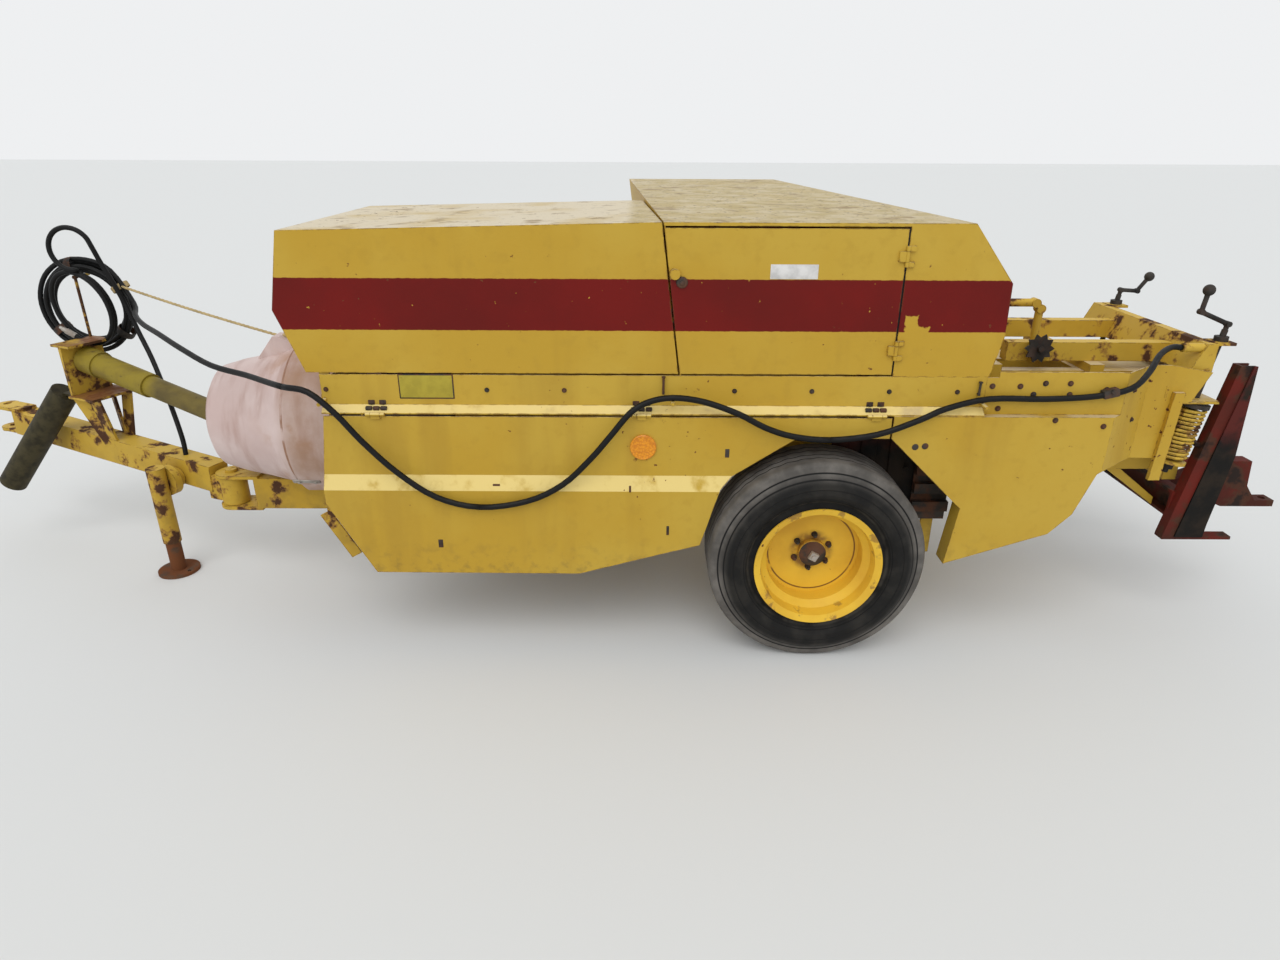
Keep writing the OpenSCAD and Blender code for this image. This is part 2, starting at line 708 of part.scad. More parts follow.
module rim() color(yellow) {
    h = tyre_w / 2 - 5;
    r = flange_r - 23;
    rotate([90, 0, 0]) rotate_extrude($fn = 64) polygon([
        [flange_r, h], [flange_r, h - 6], [r + 5, h - 14], [r, h - 50], [r - 22, h - 70], [r - 22, -h + 70],
        [r, -h + 50], [r + 5, -h + 14], [flange_r, -h + 6], [flange_r, -h], [r, -h + 10], [r - 6, -h + 50],
        [r - 28, -h + 70], [r - 28, h - 136], [60, h - 136], [60, h - 128], [r - 28, h - 128],
        [r - 28, h - 70], [r - 6, h - 50], [r, h - 10]
    ]);
}

// Hub drum that fills the rim's disc and runs on the spindle.
module hub() color(yellow) {
    h = tyre_w / 2 - 5;
    difference() {
        rotate([90, 0, 0]) rotate_extrude($fn = 64) polygon([
            [0, -h + 60], [60, -h + 60], [60, h - 136], [75, h - 128], [48, h - 128], [48, h - 105], [30, h - 95],
            [0, h - 95]
        ]);
        rotate([90, 0, 0]) translate([0, 0, -h - 10]) cylinder(h = h + 45, r = spindle_r + run_gap);
    }
}

module left_wheel() translate([0, -left_wheel_y, tyre_r]) children();
module right_wheel() translate([0, right_wheel_y, tyre_r]) mirror([0, 1, 0]) children();

// Feeder

module feeder_housing() color(yellow) {
    y0 = chamber_out + seat;
    y1 = rear_right;
    t = chamber_t;
    box([-feeder_front, y0, feeder_floor], [-40, y1 - t, feeder_floor + t]);
    box([-40 - t, y0, feeder_floor + t], [-40, y1 - t, band_top]);
    upright([[-feeder_front, feeder_floor], [-feeder_front, band_top], [258, band_top], [258, 900], [60, 700], [-40, feeder_floor]],
            y1 - t, y1);
    // Cross tube over the feed mouth
    box([-feeder_front, y0, band_top - 60], [-690, y1 - t, band_top]);
    // Pivot pins of the pickup
    pin_y(-lift_x, lift_z, pickup_left - 6, pickup_left + 60, 20);
    box([-lift_x - 30, pickup_left + 40, lift_z], [-lift_x + 30, pickup_left + 60, feeder_floor]);
    pin_y(-lift_x, lift_z, pickup_right - 30, pickup_right + 6, 20);
    pin_y(-lift_x, lift_z, min(y1 - 60, pickup_right - 30), pickup_right - 30 + 1, 20);
    box([-lift_x - 30, y1 - 60, lift_z], [-lift_x + 30, y1 - 40, feeder_floor]);
}

fork_z = 960;

module feeder_forks() color(dark) {
    pin_y(-400, fork_z, chamber_out + 2 * seat, rear_right - chamber_t - seat, 25);
    fork_pitch = (rear_right - 640) / 3;
    for (y = [520:fork_pitch:rear_right - 119]) {
        rod([-400, y, fork_z - 10], [-480, y, 640], 9);
        rod([-400, y + 60, fork_z - 10], [-320, y + 60, 640], 9);
    }
    for (y = [chamber_out + 2 * seat, rear_right - chamber_t - seat - 30])
        box([-440, y, fork_z - 36], [-360, y + 30, fork_z + 36]);
}

// Knotters and needles

module knotters() color(dark) {
    pin_y(230, 1130, -200, 200, 18);
    for (side = [-1, 1]) {
        y = side * needle_pitch / 2;
        box([150, y - 12, chamber_top], [290, y + 12, chamber_top + 40]);
        box([210, y - 12, chamber_top + 40], [250, y + 12, 1120]);
        pin_y(230, 1130, y + 20, y + 36, 90);
        rod([230, y - 20, 1110], [170, y - 20, 1010], 14);
    }
}

plunger_face = -650;

module plunger() color(dark) {
    g = 6;
    box([-1150, -bale_w / 2 + g, floor_z + seat], [plunger_face, bale_w / 2 - g, floor_z + bale_h - g]);
    // Connecting rod to the crank disc
    rod([-1460, 205, drive_z + 60], [-1140, 205, drive_z + 40], 14);
}

module needles() color(yellow) {
    // Side arms on the chamber's pivot pins
    for (side = [-1, 1]) {
        y0 = side * 310 - 6;
        difference() {
            union() {
                box([needle_x - 22, y0, needle_z - needle_r], [needle_x + 22, y0 + 12, needle_z]);
                pin_y(needle_x, needle_z, y0, y0 + 12, 40);
            }
            pin_y(needle_x, needle_z, y0 - 1, y0 + 13, 20 + run_gap);
        }
    }
    pin_y(needle_x, needle_z - needle_r, -304, 304, 20);
    // Curved needles
    for (side = [-1, 1])
        translate([needle_x, side * needle_pitch / 2, needle_z]) rotate([90, 0, 0]) rotate([0, 0, -152])
            rotate_extrude(angle = 62, $fn = 128) translate([needle_r, 0]) square([28, 14], center = true);
}

// Pickup

pickup_right = pickup_left + 12 + band_count * tine_pitch + 20;
gauge_x = reel_x + 50;
gauge_z = 240;
gauge_y = pickup_right + 46;
guard_x = reel_x - 250;
guard_z = reel_z + 300;

module pickup_frame() color(yellow) {
    for (y = [pickup_left, pickup_right - 6]) difference() {
        union() {
            pin_y(-reel_x, reel_z, y, y + 6, tine_tip_r + 8);
            pin_y(-lift_x, lift_z, y, y + 6, 34);
            upright([[-lift_x, lift_z - 34], [-lift_x, lift_z + 34], [-lift_x - 56, lift_z + 34],
                     [-guard_x + 60, lift_z + 120], [-guard_x + 26, guard_z], [-guard_x, guard_z + 26],
                     [-guard_x - 26, guard_z], [-reel_x, reel_z + 200], [-reel_x, reel_z - 200]], y, y + 6);
        }
        pin_y(-lift_x, lift_z, y - 1, y + 7, 20 + run_gap);
        pin_y(-reel_x, reel_z, y - 1, y + 7, 20 + run_gap);
        pin_y(-guard_x, guard_z, y - 1, y + 7, 12 + run_gap);
    }
    pin_y(-reel_x + 270, reel_z + 20, pickup_left + 6, pickup_right - 6, 22);
    // Arm of the gauge wheel
    upright([[-gauge_x - 20, gauge_z - 20], [-gauge_x + 20, gauge_z - 20], [-reel_x + 40, reel_z - 100],
             [-reel_x - 20, reel_z - 100]], pickup_right, pickup_right + 8);
    pin_y(-gauge_x, gauge_z, pickup_right, gauge_y + 45, 12);
}

module pickup_bands() color(dark) {
    r = band_r;
    back = 200;
    for (i = [0:band_count - 1]) {
        y = pickup_left + 22 + i * tine_pitch;
        translate([-reel_x, y, reel_z]) rotate([-90, 0, 0]) difference() {
            union() {
                cylinder(h = tine_pitch - 18, r = r);
                translate([0, -r, 0]) cube([back, 2 * r, tine_pitch - 18]);
            }
            translate([0, 0, -1]) cylinder(h = tine_pitch, r = r - 3);
            translate([0, -r + 3, -1]) cube([back + 1, 2 * r - 6, tine_pitch]);
        }
    }
    // Strips that carry the bands between the end plates
    for (side = [-1, 1])
        box([-reel_x + back - 1, pickup_left + 6, reel_z + side * (r - 6) - 9],
            [-reel_x + back + 12, pickup_right - 6, reel_z + side * (r - 6) + 9]);
}

module pickup_reel() color(dark) {
    pin_y(-reel_x, reel_z, pickup_left - 10, pickup_right + 10, 20);
    pin_y(-reel_x, reel_z, pickup_left + 16, pickup_right - 16, 35);
    for (q = [0:3]) translate([-reel_x, 0, reel_z]) rotate([0, 90 * q + 20, 0]) {
        box([98, pickup_left + 16, -12], [122, pickup_right - 16, 12]);
        for (y = [pickup_left + 18, pickup_right - 26]) box([0, y, -15], [110, y + 8, 15]);
        for (i = [0:band_count - 2])
            rod([108, pickup_left + 13 + (i + 1) * tine_pitch, 0],
                [tine_tip_r, pickup_left + 13 + (i + 1) * tine_pitch, -30], 4);
    }
}

module windguard() color(yellow) {
    y0 = hood_right + 30;
    y1 = pickup_right - 20;
    pin_y(-guard_x, guard_z, pickup_left + 12, pickup_right - 12, 16);
    pin_y(-guard_x, guard_z, pickup_left - 6, pickup_right + 6, 12);
    for (i = [0:9]) {
        y = y0 + 40 + i * (y1 - y0 - 80) / 9;
        bent_rod([[-guard_x, y, guard_z], [-guard_x - 230, y, guard_z + 50], [-guard_x - 470, y, guard_z + 30],
                  [-guard_x - 570, y, guard_z - 50]], 5);
    }
}

module gauge_wheel() color(dark) translate([-gauge_x, gauge_y, gauge_z]) rotate([90, 0, 0]) difference() {
    rotate_extrude() polygon([[0, -30], [40, -30], [40, -12], [95, -12], [95, -28], [gauge_r - 8, -28],
        [gauge_r, -20], [gauge_r, 20], [gauge_r - 8, 28], [95, 28], [95, 12], [40, 12], [40, 30], [0, 30]]);
    translate([0, 0, -31]) cylinder(h = 62, r = 12 + run_gap);
}

// Bale tension and rear end

rail_top = chamber_top + 97;
beam_low = chamber_top + 31;
beam_high = rail_top + 33;

module tension_beam() color(yellow) {
    end_y = spring_y + 45;
    difference() {
        union() {
            difference() {
                upright([[1255, beam_low], [1300, beam_high], [1335, beam_high], [1335, beam_low]], -end_y, end_y);
                upright([[1267, beam_low - 1], [1306, beam_high - 8], [1327, beam_high - 8], [1327, beam_low - 1]],
                        -end_y + 8, end_y - 8);
            }
            for (side = [-1, 1])
                box([1330, side * spring_y - 35, beam_high - 8], [1400, side * spring_y + 35, beam_high + 2]);
        }
        for (side = [-1, 1]) lean_at(side) cylinder(h = 400, r = rod_r + 2);
    }
    // Socket of the hose
    pin_x(hose_route[0][1], hose_route[0][2], hose_route[0][0] + seat + 0.2, 1296, 15);
    // Rails along the roof of the chamber
    for (side = [-1, 1]) box([700, side * 190 - 25, chamber_top + 30], [1290, side * 190 + 25, rail_top]);
}

// A coil of round wire about the Z axis, from z = 0 up.
module coil_spring(radius, wire, turns, pitch) {
    sides = 6;
    steps = 10;
    rings = turns * steps;
    points = [
        for (i = [0:rings]) for (j = [0:sides - 1])
            let (a = 360 * i / steps, b = 360 * j / sides, r = radius + wire * cos(b))
                [r * cos(a), r * sin(a), pitch * i / steps + wire * sin(b)]
    ];
    faces = concat(
        [[for (j = [sides - 1:-1:0]) j]],
        [for (i = [0:rings - 1]) for (j = [0:sides - 1])
            let (a = i * sides + j, b = i * sides + (j + 1) % sides) [a, b, b + sides, a + sides]],
        [[for (j = [0:sides - 1]) rings * sides + j]]
    );
    polyhedron(points, faces);
}

spring_turns = 13;

module tension_springs() color(yellow) for (side = [-1, 1]) lean_at(side) {
    drop = spring_seat_z - spring_low_z;
    pitch = (drop - 2 * spring_wire_r - 2 - cap_t - cap_drop) / spring_turns;
    translate([0, 0, -drop + spring_wire_r]) coil_spring(spring_coil_r, spring_wire_r, spring_turns, pitch);
    translate([0, 0, -drop - 10]) difference() {
        cylinder(h = 10.5, r = spring_coil_r + 8);
        translate([0, 0, -1]) cylinder(h = 13, r = rod_r + seat);
    }
}

// Where each crank turns: to the front on the left rod, to the rear on the right one.
crank_turns = [[[-100, 40], [-93, 112]], [[66, -4], [104, 54]]];

module tension_cranks() color(dark) for (i = [0, 1]) {
    side = 2 * i - 1;
    drop = spring_seat_z - spring_low_z;
    lean_at(side) {
        translate([0, 0, -drop - 50]) cylinder(h = drop + 300, r = rod_r);
        translate([0, 0, -drop - 34]) cylinder(h = 24 - seat, r = 20);
        translate([0, 0, -cap_t - cap_drop]) cylinder(h = cap_t - seat, r = spring_coil_r + 8);
    }
    top = [1337 + 270 * sin(tension_lean), side * spring_y, spring_seat_z + 270 * cos(tension_lean)];
    turns = [for (p = crank_turns[i]) top + [p[0], 0, p[1]]];
    bent_rod([top - 60 * [sin(tension_lean), 0, cos(tension_lean)], top, turns[0], turns[1]], 8);
    translate(turns[1]) sphere(r = 19);
    // Nut that turns on the beam's lug
    pin_z(1337 + (beam_high + 2 - spring_seat_z) * tan(tension_lean), side * spring_y, beam_high + 2, beam_high + 18, 22);
}

module end_frame() color(red) {
    for (side = [-1, 1]) {
        y = side * 340;
        difference() {
            upright([[1440, 1000], [1492, 1000], [1387, 352], [1335, 352]], y - 22, y + 22);
            upright([[1450, 1001], [1500, 1001], [1395, 362], [1345, 362]], y - 14, y + 14);
        }
        box([1335, y - 22, 340], [1590, y + 22, 352]);
        // Ties to the chamber
        box([1376, side < 0 ? y : chamber_out + 30, 700], [1400, side < 0 ? -chamber_out - 30 : y, 712]);
    }
    difference() {
        box([1350, -330, 420], [1400, 330, 520]);
        box([1349, -318, 430], [1390, 318, 510]);
    }
}

module end_plates() color(dark) for (side = [-1, 1]) {
    outer = side * (362 + seat);
    upright([[1377, 352 + seat], [1480, 352 + seat], [1482, 403], [1510, 674], [1494, 1000], [1482, 1000]],
            side < 0 ? outer - 6 : outer, side < 0 ? outer : outer + 6);
}

arm_y = 200;

module rear_hitch() color(red) for (side = [-1, 1]) difference() {
    upright([[1400, 430], [1400, 520], [1600, 600], [1690, 600], [1700, 500], [1745, 440], [hook_x, 440],
             [hook_x, 415], [1620, 415], [1560, 440]], side * arm_y - 28, side * arm_y + 28);
    pin_z(1790, side * arm_y, 400, 600, 13);
}

module bale_meter() color(dark) {
    x = 800;
    z = chamber_top + 82;
    pin_y(x, z, -262, -215 - seat, 10);
    // Star wheel that the bale turns
    translate([x, -240, z]) rotate([90, 0, 0]) linear_extrude(8)
        polygon([for (i = [0:19]) let (r = i % 2 == 0 ? 52 : 38) [r * cos(18 * i), r * sin(18 * i)]]);
}

// Ribbed guard behind the left wheel
module wheel_guard() color(dark) {
    x0 = tyre_r + 12;
    box([x0, -360, 420], [x0 + 130, -352, 812]);
    for (z = [460:70:740]) box([x0, -384, z], [x0 + 130, -359, z + 38]);
    box([x0 + 90, -353, 806], [x0 + 130, -chamber_out - seat, 812]);
}

module knotter_tube() color(yellow) {
    y = -190;
    hood_x = 540 - (y + side_y) * tan(back_angle) + 2;
    bent_rod([[hood_x, y, 1180], [780, y, 1180], [800, y, 1160], [800, y, rail_top + 1]], 14);
}

// Hose along the left side

// One value of a smooth curve that passes from b to c between its neighbours a and d.
function between(a, b, c, d, t) =
    0.5 * (2 * b + (c - a) * t + (2 * a - 5 * b + 4 * c - d) * t * t + (3 * b - a - 3 * c + d) * t * t * t);

function smooth(route, steps) =
    let (last = len(route) - 1, q = concat([2 * route[0] - route[1]], route, [2 * route[last] - route[last - 1]]))
    concat([for (i = [0:last - 1]) for (k = [0:steps - 1]) between(q[i], q[i + 1], q[i + 2], q[i + 3], k / steps)],
           [route[last]]);

// The hose from one point of its route to another; across is a direction that it never runs along.
// It is cut square to X, so that the part on the front shield turns past its neighbours.
module hose(route, first, last, across) {
    sides = 8;
    steps = 2;
    points = smooth(route, steps);
    end = len(points) - 1;
    i0 = first * steps;
    i1 = last * steps;
    rings = [
        for (i = [i0:i1])
            let (cut = i < end && (i == i0 || i == i1),
                 run = cut ? [-1, 0, 0] : points[min(i + 1, end)] - points[max(i - 1, 0)], t = run / norm(run),
                 c = cross(t, across), a = c / norm(c), b = cross(a, t))
                for (j = [0:sides - 1])
                    points[i] + hose_r * (cos(360 * j / sides) * a + sin(360 * j / sides) * b)
    ];
    n = i1 - i0;
    polyhedron(rings, concat(
        [[for (j = [sides - 1:-1:0]) j]],
        [for (i = [0:n - 1]) for (j = [0:sides - 1])
            let (a = i * sides + j, b = i * sides + (j + 1) % sides) [a, b, b + sides, a + sides]],
        [[for (j = [0:sides - 1]) n * sides + j]]
    ));
}

module hose_side() color(dark) for (span = [[0, 9], [14, 18], [27, 39]])
    hose(hose_route, span[0], span[1], [0, 1, 0.3]);

module hose_sag() color(dark) for (span = [[9, 14], [18, 27]])
    hose(hose_route, span[0], span[1], [0, 1, 0.3]);

module hose_coil() color(dark) translate([coil_x, coil_y, coil_z]) rotate([90, 0, 0]) rotate_extrude()
    translate([coil_r, 0]) circle(r = coil_bundle, $fn = 24);

place() chassis_tongue();
place() bale_chamber();
place() gearbox();
place() axle();
place() side_band();
place() rear_hood();
place() rear_shield();
place() flywheel_cover();
place() feeder_housing();
place() feeder_forks();
place() knotters();
place() plunger();
place() tension_beam();
place() tension_springs();
place() tension_cranks();
place() end_frame();
place() rear_hitch();
place() bale_meter();
place() knotter_tube();
place() end_plates();
place() wheel_guard();
place() hose_side();
place() hose_sag();
place() hose_coil();
place() left_wheel() tyre();  // tyre_left
place() left_wheel() { rim(); hub(); }  // rim_left
place() right_wheel() tyre();  // tyre_right
place() right_wheel() { rim(); hub(); }  // rim_right
place() drawbar();
place() shaft_tower();
place() shaft_guard();
place() open_guard();
place() jack_leg();
place() jack_foot();
place() flywheel();
place() front_hood();
place() knotter_door();
place() front_shield();
place() pickup_frame();
place() pickup_bands();
place() pickup_reel();
place() windguard();
place() gauge_wheel();
place() needles();
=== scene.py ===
"""Dresses the square baler in faded paint, rust, rubber and small fittings, on a pale floor."""

import math

import bmesh
import bpy
from mathutils import Matrix, Vector


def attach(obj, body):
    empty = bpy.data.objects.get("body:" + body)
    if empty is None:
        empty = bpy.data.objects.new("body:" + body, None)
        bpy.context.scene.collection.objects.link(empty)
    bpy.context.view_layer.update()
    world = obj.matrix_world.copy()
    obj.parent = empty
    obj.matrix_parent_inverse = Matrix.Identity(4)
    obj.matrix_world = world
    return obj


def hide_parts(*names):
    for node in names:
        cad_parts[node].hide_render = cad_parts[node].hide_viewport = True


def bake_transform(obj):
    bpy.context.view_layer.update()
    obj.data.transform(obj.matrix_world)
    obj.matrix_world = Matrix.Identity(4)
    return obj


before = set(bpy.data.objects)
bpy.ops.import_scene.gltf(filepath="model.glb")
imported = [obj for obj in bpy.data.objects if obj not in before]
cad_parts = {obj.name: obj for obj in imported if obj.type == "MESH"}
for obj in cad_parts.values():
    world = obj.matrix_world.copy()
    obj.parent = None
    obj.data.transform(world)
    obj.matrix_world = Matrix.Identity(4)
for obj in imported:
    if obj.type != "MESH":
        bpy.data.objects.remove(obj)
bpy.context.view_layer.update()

# The machine is measured in metres, X to the rear from the axle and Y to the right from the bale chamber's
# middle. These are the places of the axle and of that middle in the whole part.
AXLE_X = 0.88265
CHAMBER_Y = -0.575

# The drawbar's pivot, and how far the drawbar is swung out at rest
PIVOT_X = -2.27
SWING = math.radians(23)

# The wheels' middles: sideways from the middle of the whole part, and above the ground
WHEEL_Y = 1.094
WHEEL_Z = 0.37

LEFT, RIGHT = -1, 1


def at(x, y, z):
    """A point of the machine in the frame of the whole part."""
    return Vector((x + AXLE_X, y + CHAMBER_Y, z))


def metres(point):
    """A point of the machine that is given in millimetres, in the frame of the whole part."""
    return at(*(v / 1000 for v in point))


def along_drawbar(s, side, z):
    """A point s ahead of the drawbar's pivot, side to the right of the drawbar's middle and z up."""
    c, n = math.cos(SWING), math.sin(SWING)
    return at(PIVOT_X - s * c + side * n, s * n + side * c, z)


# Camera, light and floor

# The photograph's camera, as fitted to the wheel's ellipse and to the panels' straight edges
CAMERA_PLACE = at(-0.604, -3.05, 1.71)
CAMERA_LENS = 22.76
SENSOR_WIDTH = 36
DEGREES_DOWN = 22.98
DEGREES_ROLLED = 0.25
VIEW_DEPTH = 300

SEEN_WORLD = (0.86, 0.87, 0.88, 1)
SKY = (0.95, 0.98, 1.0, 1)
SKY_STRENGTH = 0.82
SUN_STRENGTH = 1.1
SUN_SPREAD = math.radians(50)
SUN_TURN = (math.radians(40), math.radians(-12), 0)
FLOOR_REACH = 60
FLOOR_GREY = (0.72, 0.72, 0.71)


def set_camera():
    camera = bpy.data.objects.new("camera", bpy.data.cameras.new("camera"))
    bpy.context.scene.collection.objects.link(camera)
    camera.data.sensor_width = SENSOR_WIDTH
    camera.data.lens = CAMERA_LENS
    camera.data.clip_end = VIEW_DEPTH
    tilt = Matrix.Rotation(math.radians(90 - DEGREES_DOWN), 4, "X")
    roll = Matrix.Rotation(math.radians(DEGREES_ROLLED), 4, "Z")
    camera.matrix_world = Matrix.Translation(CAMERA_PLACE) @ tilt @ roll
    bpy.context.scene.camera = camera


def set_world():
    """An overcast sky that the camera, and what mirrors or lets through, sees as a paler grey."""
    world = bpy.data.worlds.new("overcast")
    bpy.context.scene.world = world
    world.use_nodes = True
    nodes, links = world.node_tree.nodes, world.node_tree.links
    nodes.clear()
    out = nodes.new("ShaderNodeOutputWorld")
    rays = nodes.new("ShaderNodeLightPath")
    seen = nodes.new("ShaderNodeBackground")
    seen.inputs["Color"].default_value = SEEN_WORLD
    sky = nodes.new("ShaderNodeBackground")
    sky.inputs["Color"].default_value = SKY
    sky.inputs["Strength"].default_value = SKY_STRENGTH
    shown = rays.outputs["Is Camera Ray"]
    for kind in ("Is Glossy Ray", "Is Transmission Ray"):
        either = nodes.new("ShaderNodeMath")
        either.operation = "MAXIMUM"
        links.new(shown, either.inputs[0])
        links.new(rays.outputs[kind], either.inputs[1])
        shown = either.outputs[0]
    choice = nodes.new("ShaderNodeMixShader")
    links.new(shown, choice.inputs["Fac"])
    links.new(sky.outputs[0], choice.inputs[1])
    links.new(seen.outputs[0], choice.inputs[2])
    links.new(choice.outputs[0], out.inputs["Surface"])


def set_light():
    scene = bpy.context.scene
    scene.view_settings.view_transform = "Standard"
    set_world()
    lamp = bpy.data.objects.new("soft_sun", bpy.data.lights.new("soft_sun", "SUN"))
    lamp.data.energy = SUN_STRENGTH
    lamp.data.angle = SUN_SPREAD
    lamp.rotation_euler = SUN_TURN
    scene.collection.objects.link(lamp)


def lay_floor():
    mesh = bpy.data.meshes.new("floor")
    corners = [(-1, -1), (1, -1), (1, 1), (-1, 1)]
    mesh.from_pydata([(FLOOR_REACH * x, FLOOR_REACH * y, 0) for x, y in corners], [], [(0, 1, 2, 3)])
    floor = bpy.data.objects.new("floor", mesh)
    bpy.context.scene.collection.objects.link(floor)
    f = Finish("pale_floor")
    mesh.materials.append(f.set(FLOOR_GREY, 0.9))


# Finishes

WEATHERED_SHINE = 0.2
COAT_ROUGHNESS = 0.3
BUMP_STRENGTH = 0.6


class Value:
    """A value or colour in a finish, which Python expressions turn into Math nodes."""

    def __init__(self, finish, socket):
        self.finish = finish
        self.socket = socket

    def math(self, operation, *others):
        values = dict(enumerate([self, *others]))
        return self.finish.node("ShaderNodeMath", {"operation": operation}, values)

    def __add__(self, other):
        return self.math("ADD", other)

    def __radd__(self, other):
        return self.math("ADD", other)

    def __sub__(self, other):
        return self.math("SUBTRACT", other)

    def __rsub__(self, other):
        return self.finish.node("ShaderNodeMath", {"operation": "SUBTRACT"}, {0: other, 1: self})

    def __mul__(self, other):
        return self.math("MULTIPLY", other)

    def __rmul__(self, other):
        return self.math("MULTIPLY", other)

    def __abs__(self):
        return self.math("ABSOLUTE")

    def either(self, other):
        return self.math("MAXIMUM", other)

    def step(self, low, high):
        """0 below low and 1 above high, with a soft change between; high below low turns it round."""
        ends = (low, high, 0.0, 1.0) if low <= high else (high, low, 1.0, 0.0)
        values = dict(enumerate([self, *ends]))
        return self.finish.node("ShaderNodeMapRange", {"interpolation_type": "SMOOTHSTEP"}, values)

    def within(self, low, high, soft):
        """1 between low and high, with soft edges."""
        return self.step(low - soft, low + soft) * self.step(high + soft, high - soft)

    def bands(self, *rows):
        """1 in any of the bands, each of which is a low and a high end and the softness of its edges."""
        first, *others = [self.within(*row) for row in rows]
        for other in others:
            first = first.either(other)
        return first


class Finish:
    """A material that follows the part's own coordinates, so that it stays put when the part moves."""

    def __init__(self, name):
        self.material = bpy.data.materials.new(name)
        self.material.use_nodes = True
        self.tree = self.material.node_tree
        self.shader = self.tree.nodes["Principled BSDF"]
        self.place = self.node("ShaderNodeTexCoord", output="Object")
        self.normal = self.node("ShaderNodeTexCoord", output="Normal")
        self.x, self.y, self.z = (
            self.node("ShaderNodeSeparateXYZ", inputs={0: self.place}, output=i) for i in range(3)
        )
        self.up = self.node("ShaderNodeSeparateXYZ", inputs={0: self.normal}, output=2)

    def node(self, kind, settings=None, inputs=None, output=0):
        """Adds a node of that kind, sets it, fills or links its inputs, and gives one output."""
        made = self.tree.nodes.new(kind)
        for name, value in (settings or {}).items():
            setattr(made, name, value)
        for key, value in (inputs or {}).items():
            if isinstance(value, Value):
                self.tree.links.new(value.socket, made.inputs[key])
            else:
                made.inputs[key].default_value = value
        return Value(self, made.outputs[output])

    def grain(self, scale, detail, stretch=(1, 1, 1), shift=0.0, roughness=0.55):
        """Noise from 0 to 1 at about scale marks a metre."""
        where = self.node(
            "ShaderNodeMapping",
            inputs={"Vector": self.place, "Scale": stretch, "Location": (shift, 2 * shift, 3 * shift)},
        )
        return self.node(
            "ShaderNodeTexNoise",
            inputs={"Vector": where, "Scale": scale, "Detail": detail, "Roughness": roughness},
        )

    def edges(self, width=0.005, shift=0.0):
        """1 on the outer edges and the inner creases of sheets and folds, broken up by noise; the paints
        darken it, partly as worn paint and partly as painted shade in seams and creases.
        """
        rounded = self.node("ShaderNodeBevel", {"samples": 4}, {"Radius": width})
        plain = self.node("ShaderNodeNewGeometry", output="Normal")
        both = {0: rounded, 1: plain}
        agree = self.node("ShaderNodeVectorMath", {"operation": "DOT_PRODUCT"}, both, output=1)
        return (1 - agree).step(0.02, 0.10) * self.grain(34, 5, shift=shift + 6.3).step(0.44, 0.56)

    def blend(self, under, over, share):
        """The colour over laid on the colour under, by share."""
        colours = {
            key: (*colour, 1) if isinstance(colour, tuple) else colour
            for key, colour in ((6, under), (7, over))
        }
        return self.node("ShaderNodeMix", {"data_type": "RGBA"}, {0: share, **colours}, output=2)

    def set(self, colour, roughness, metallic=0.0, relief=None, depth=0.001, coat=0.0):
        """Gives the material its colour and surface, with the relief as bumps of that depth."""
        for name, value in (("Base Color", colour), ("Roughness", roughness), ("Metallic", metallic)):
            socket = self.shader.inputs[name]
            if isinstance(value, Value):
                self.tree.links.new(value.socket, socket)
            else:
                socket.default_value = (*value, 1) if isinstance(value, tuple) else value
        self.shader.inputs["Specular IOR Level"].default_value = WEATHERED_SHINE
        self.shader.inputs["Coat Weight"].default_value = coat
        self.shader.inputs["Coat Roughness"].default_value = COAT_ROUGHNESS
        if relief is not None:
            heights = {"Height": relief, "Distance": depth, "Strength": BUMP_STRENGTH}
            bump = self.node("ShaderNodeBump", inputs=heights)
            self.tree.links.new(bump.socket, self.shader.inputs["Normal"])
        return self.material


FRESH_YELLOW = (0.50, 0.305, 0.031)
FADED_YELLOW = (0.53, 0.345, 0.045)
DULL_YELLOW = (0.42, 0.255, 0.030)
DIRT_RUN = (0.38, 0.225, 0.028)
CREAM = (0.66, 0.56, 0.39)
# The next colour is a painted highlight, for faces that slope up
LIT_SLOPE_YELLOW = (0.82, 0.64, 0.24)
# The next colour darkens edges: worn paint on outer edges, painted shade in seams and creases
WORN_AND_SHADED_EDGE = (0.13, 0.055, 0.018)
GRIME = (0.10, 0.07, 0.035)
RUST = (0.16, 0.055, 0.02)
DARK_RUST = (0.045, 0.02, 0.012)
STRIPE_RED = (0.160, 0.004, 0.002)
DEEP_RED = (0.125, 0.004, 0.002)

STRIPE_LOW, STRIPE_HIGH = 1.151, 1.311


def rusted(f, colour, amount, shift=0.0):
    """Small rust specks and chips, more of them for a larger amount; gives the colour and the specks."""
    broad = f.grain(1.7, 4, shift=shift + 3.1)
    fine = f.grain(38, 6, shift=shift)
    marks = fine + (broad - 0.5) * 0.35 + amount
    specks = marks.step(0.70, 0.74)
    colour = f.blend(colour, RUST, specks)
    return f.blend(colour, DARK_RUST, marks.step(0.735, 0.78)), specks


def aged_yellow(f, shift=0.0):
    """Yellow paint faded unevenly, with runs of dirt down the panels."""
    fade = f.grain(1.6, 5, shift=shift)
    runs = f.grain(5.5, 4, stretch=(1, 1, 0.12), shift=shift + 1.7)
    mottle = f.grain(24, 5, shift=shift + 0.4)
    colour = f.blend(FRESH_YELLOW, FADED_YELLOW, fade.step(0.38, 0.62))
    colour = f.blend(colour, DIRT_RUN, runs.step(0.52, 0.70) * 0.42)
    return f.blend(colour, DULL_YELLOW, mottle.step(0.5, 0.72) * 0.30)


def weathered(f, colour, specks, roughness):
    """Sets a paint that is finely rough all over, and rougher and eaten in at its specks of rust."""
    fine = f.grain(90, 4)
    dullness = roughness + specks * 0.4 + fine * 0.12
    return f.set(colour, dullness, relief=fine + specks * -1.5, depth=0.0006)


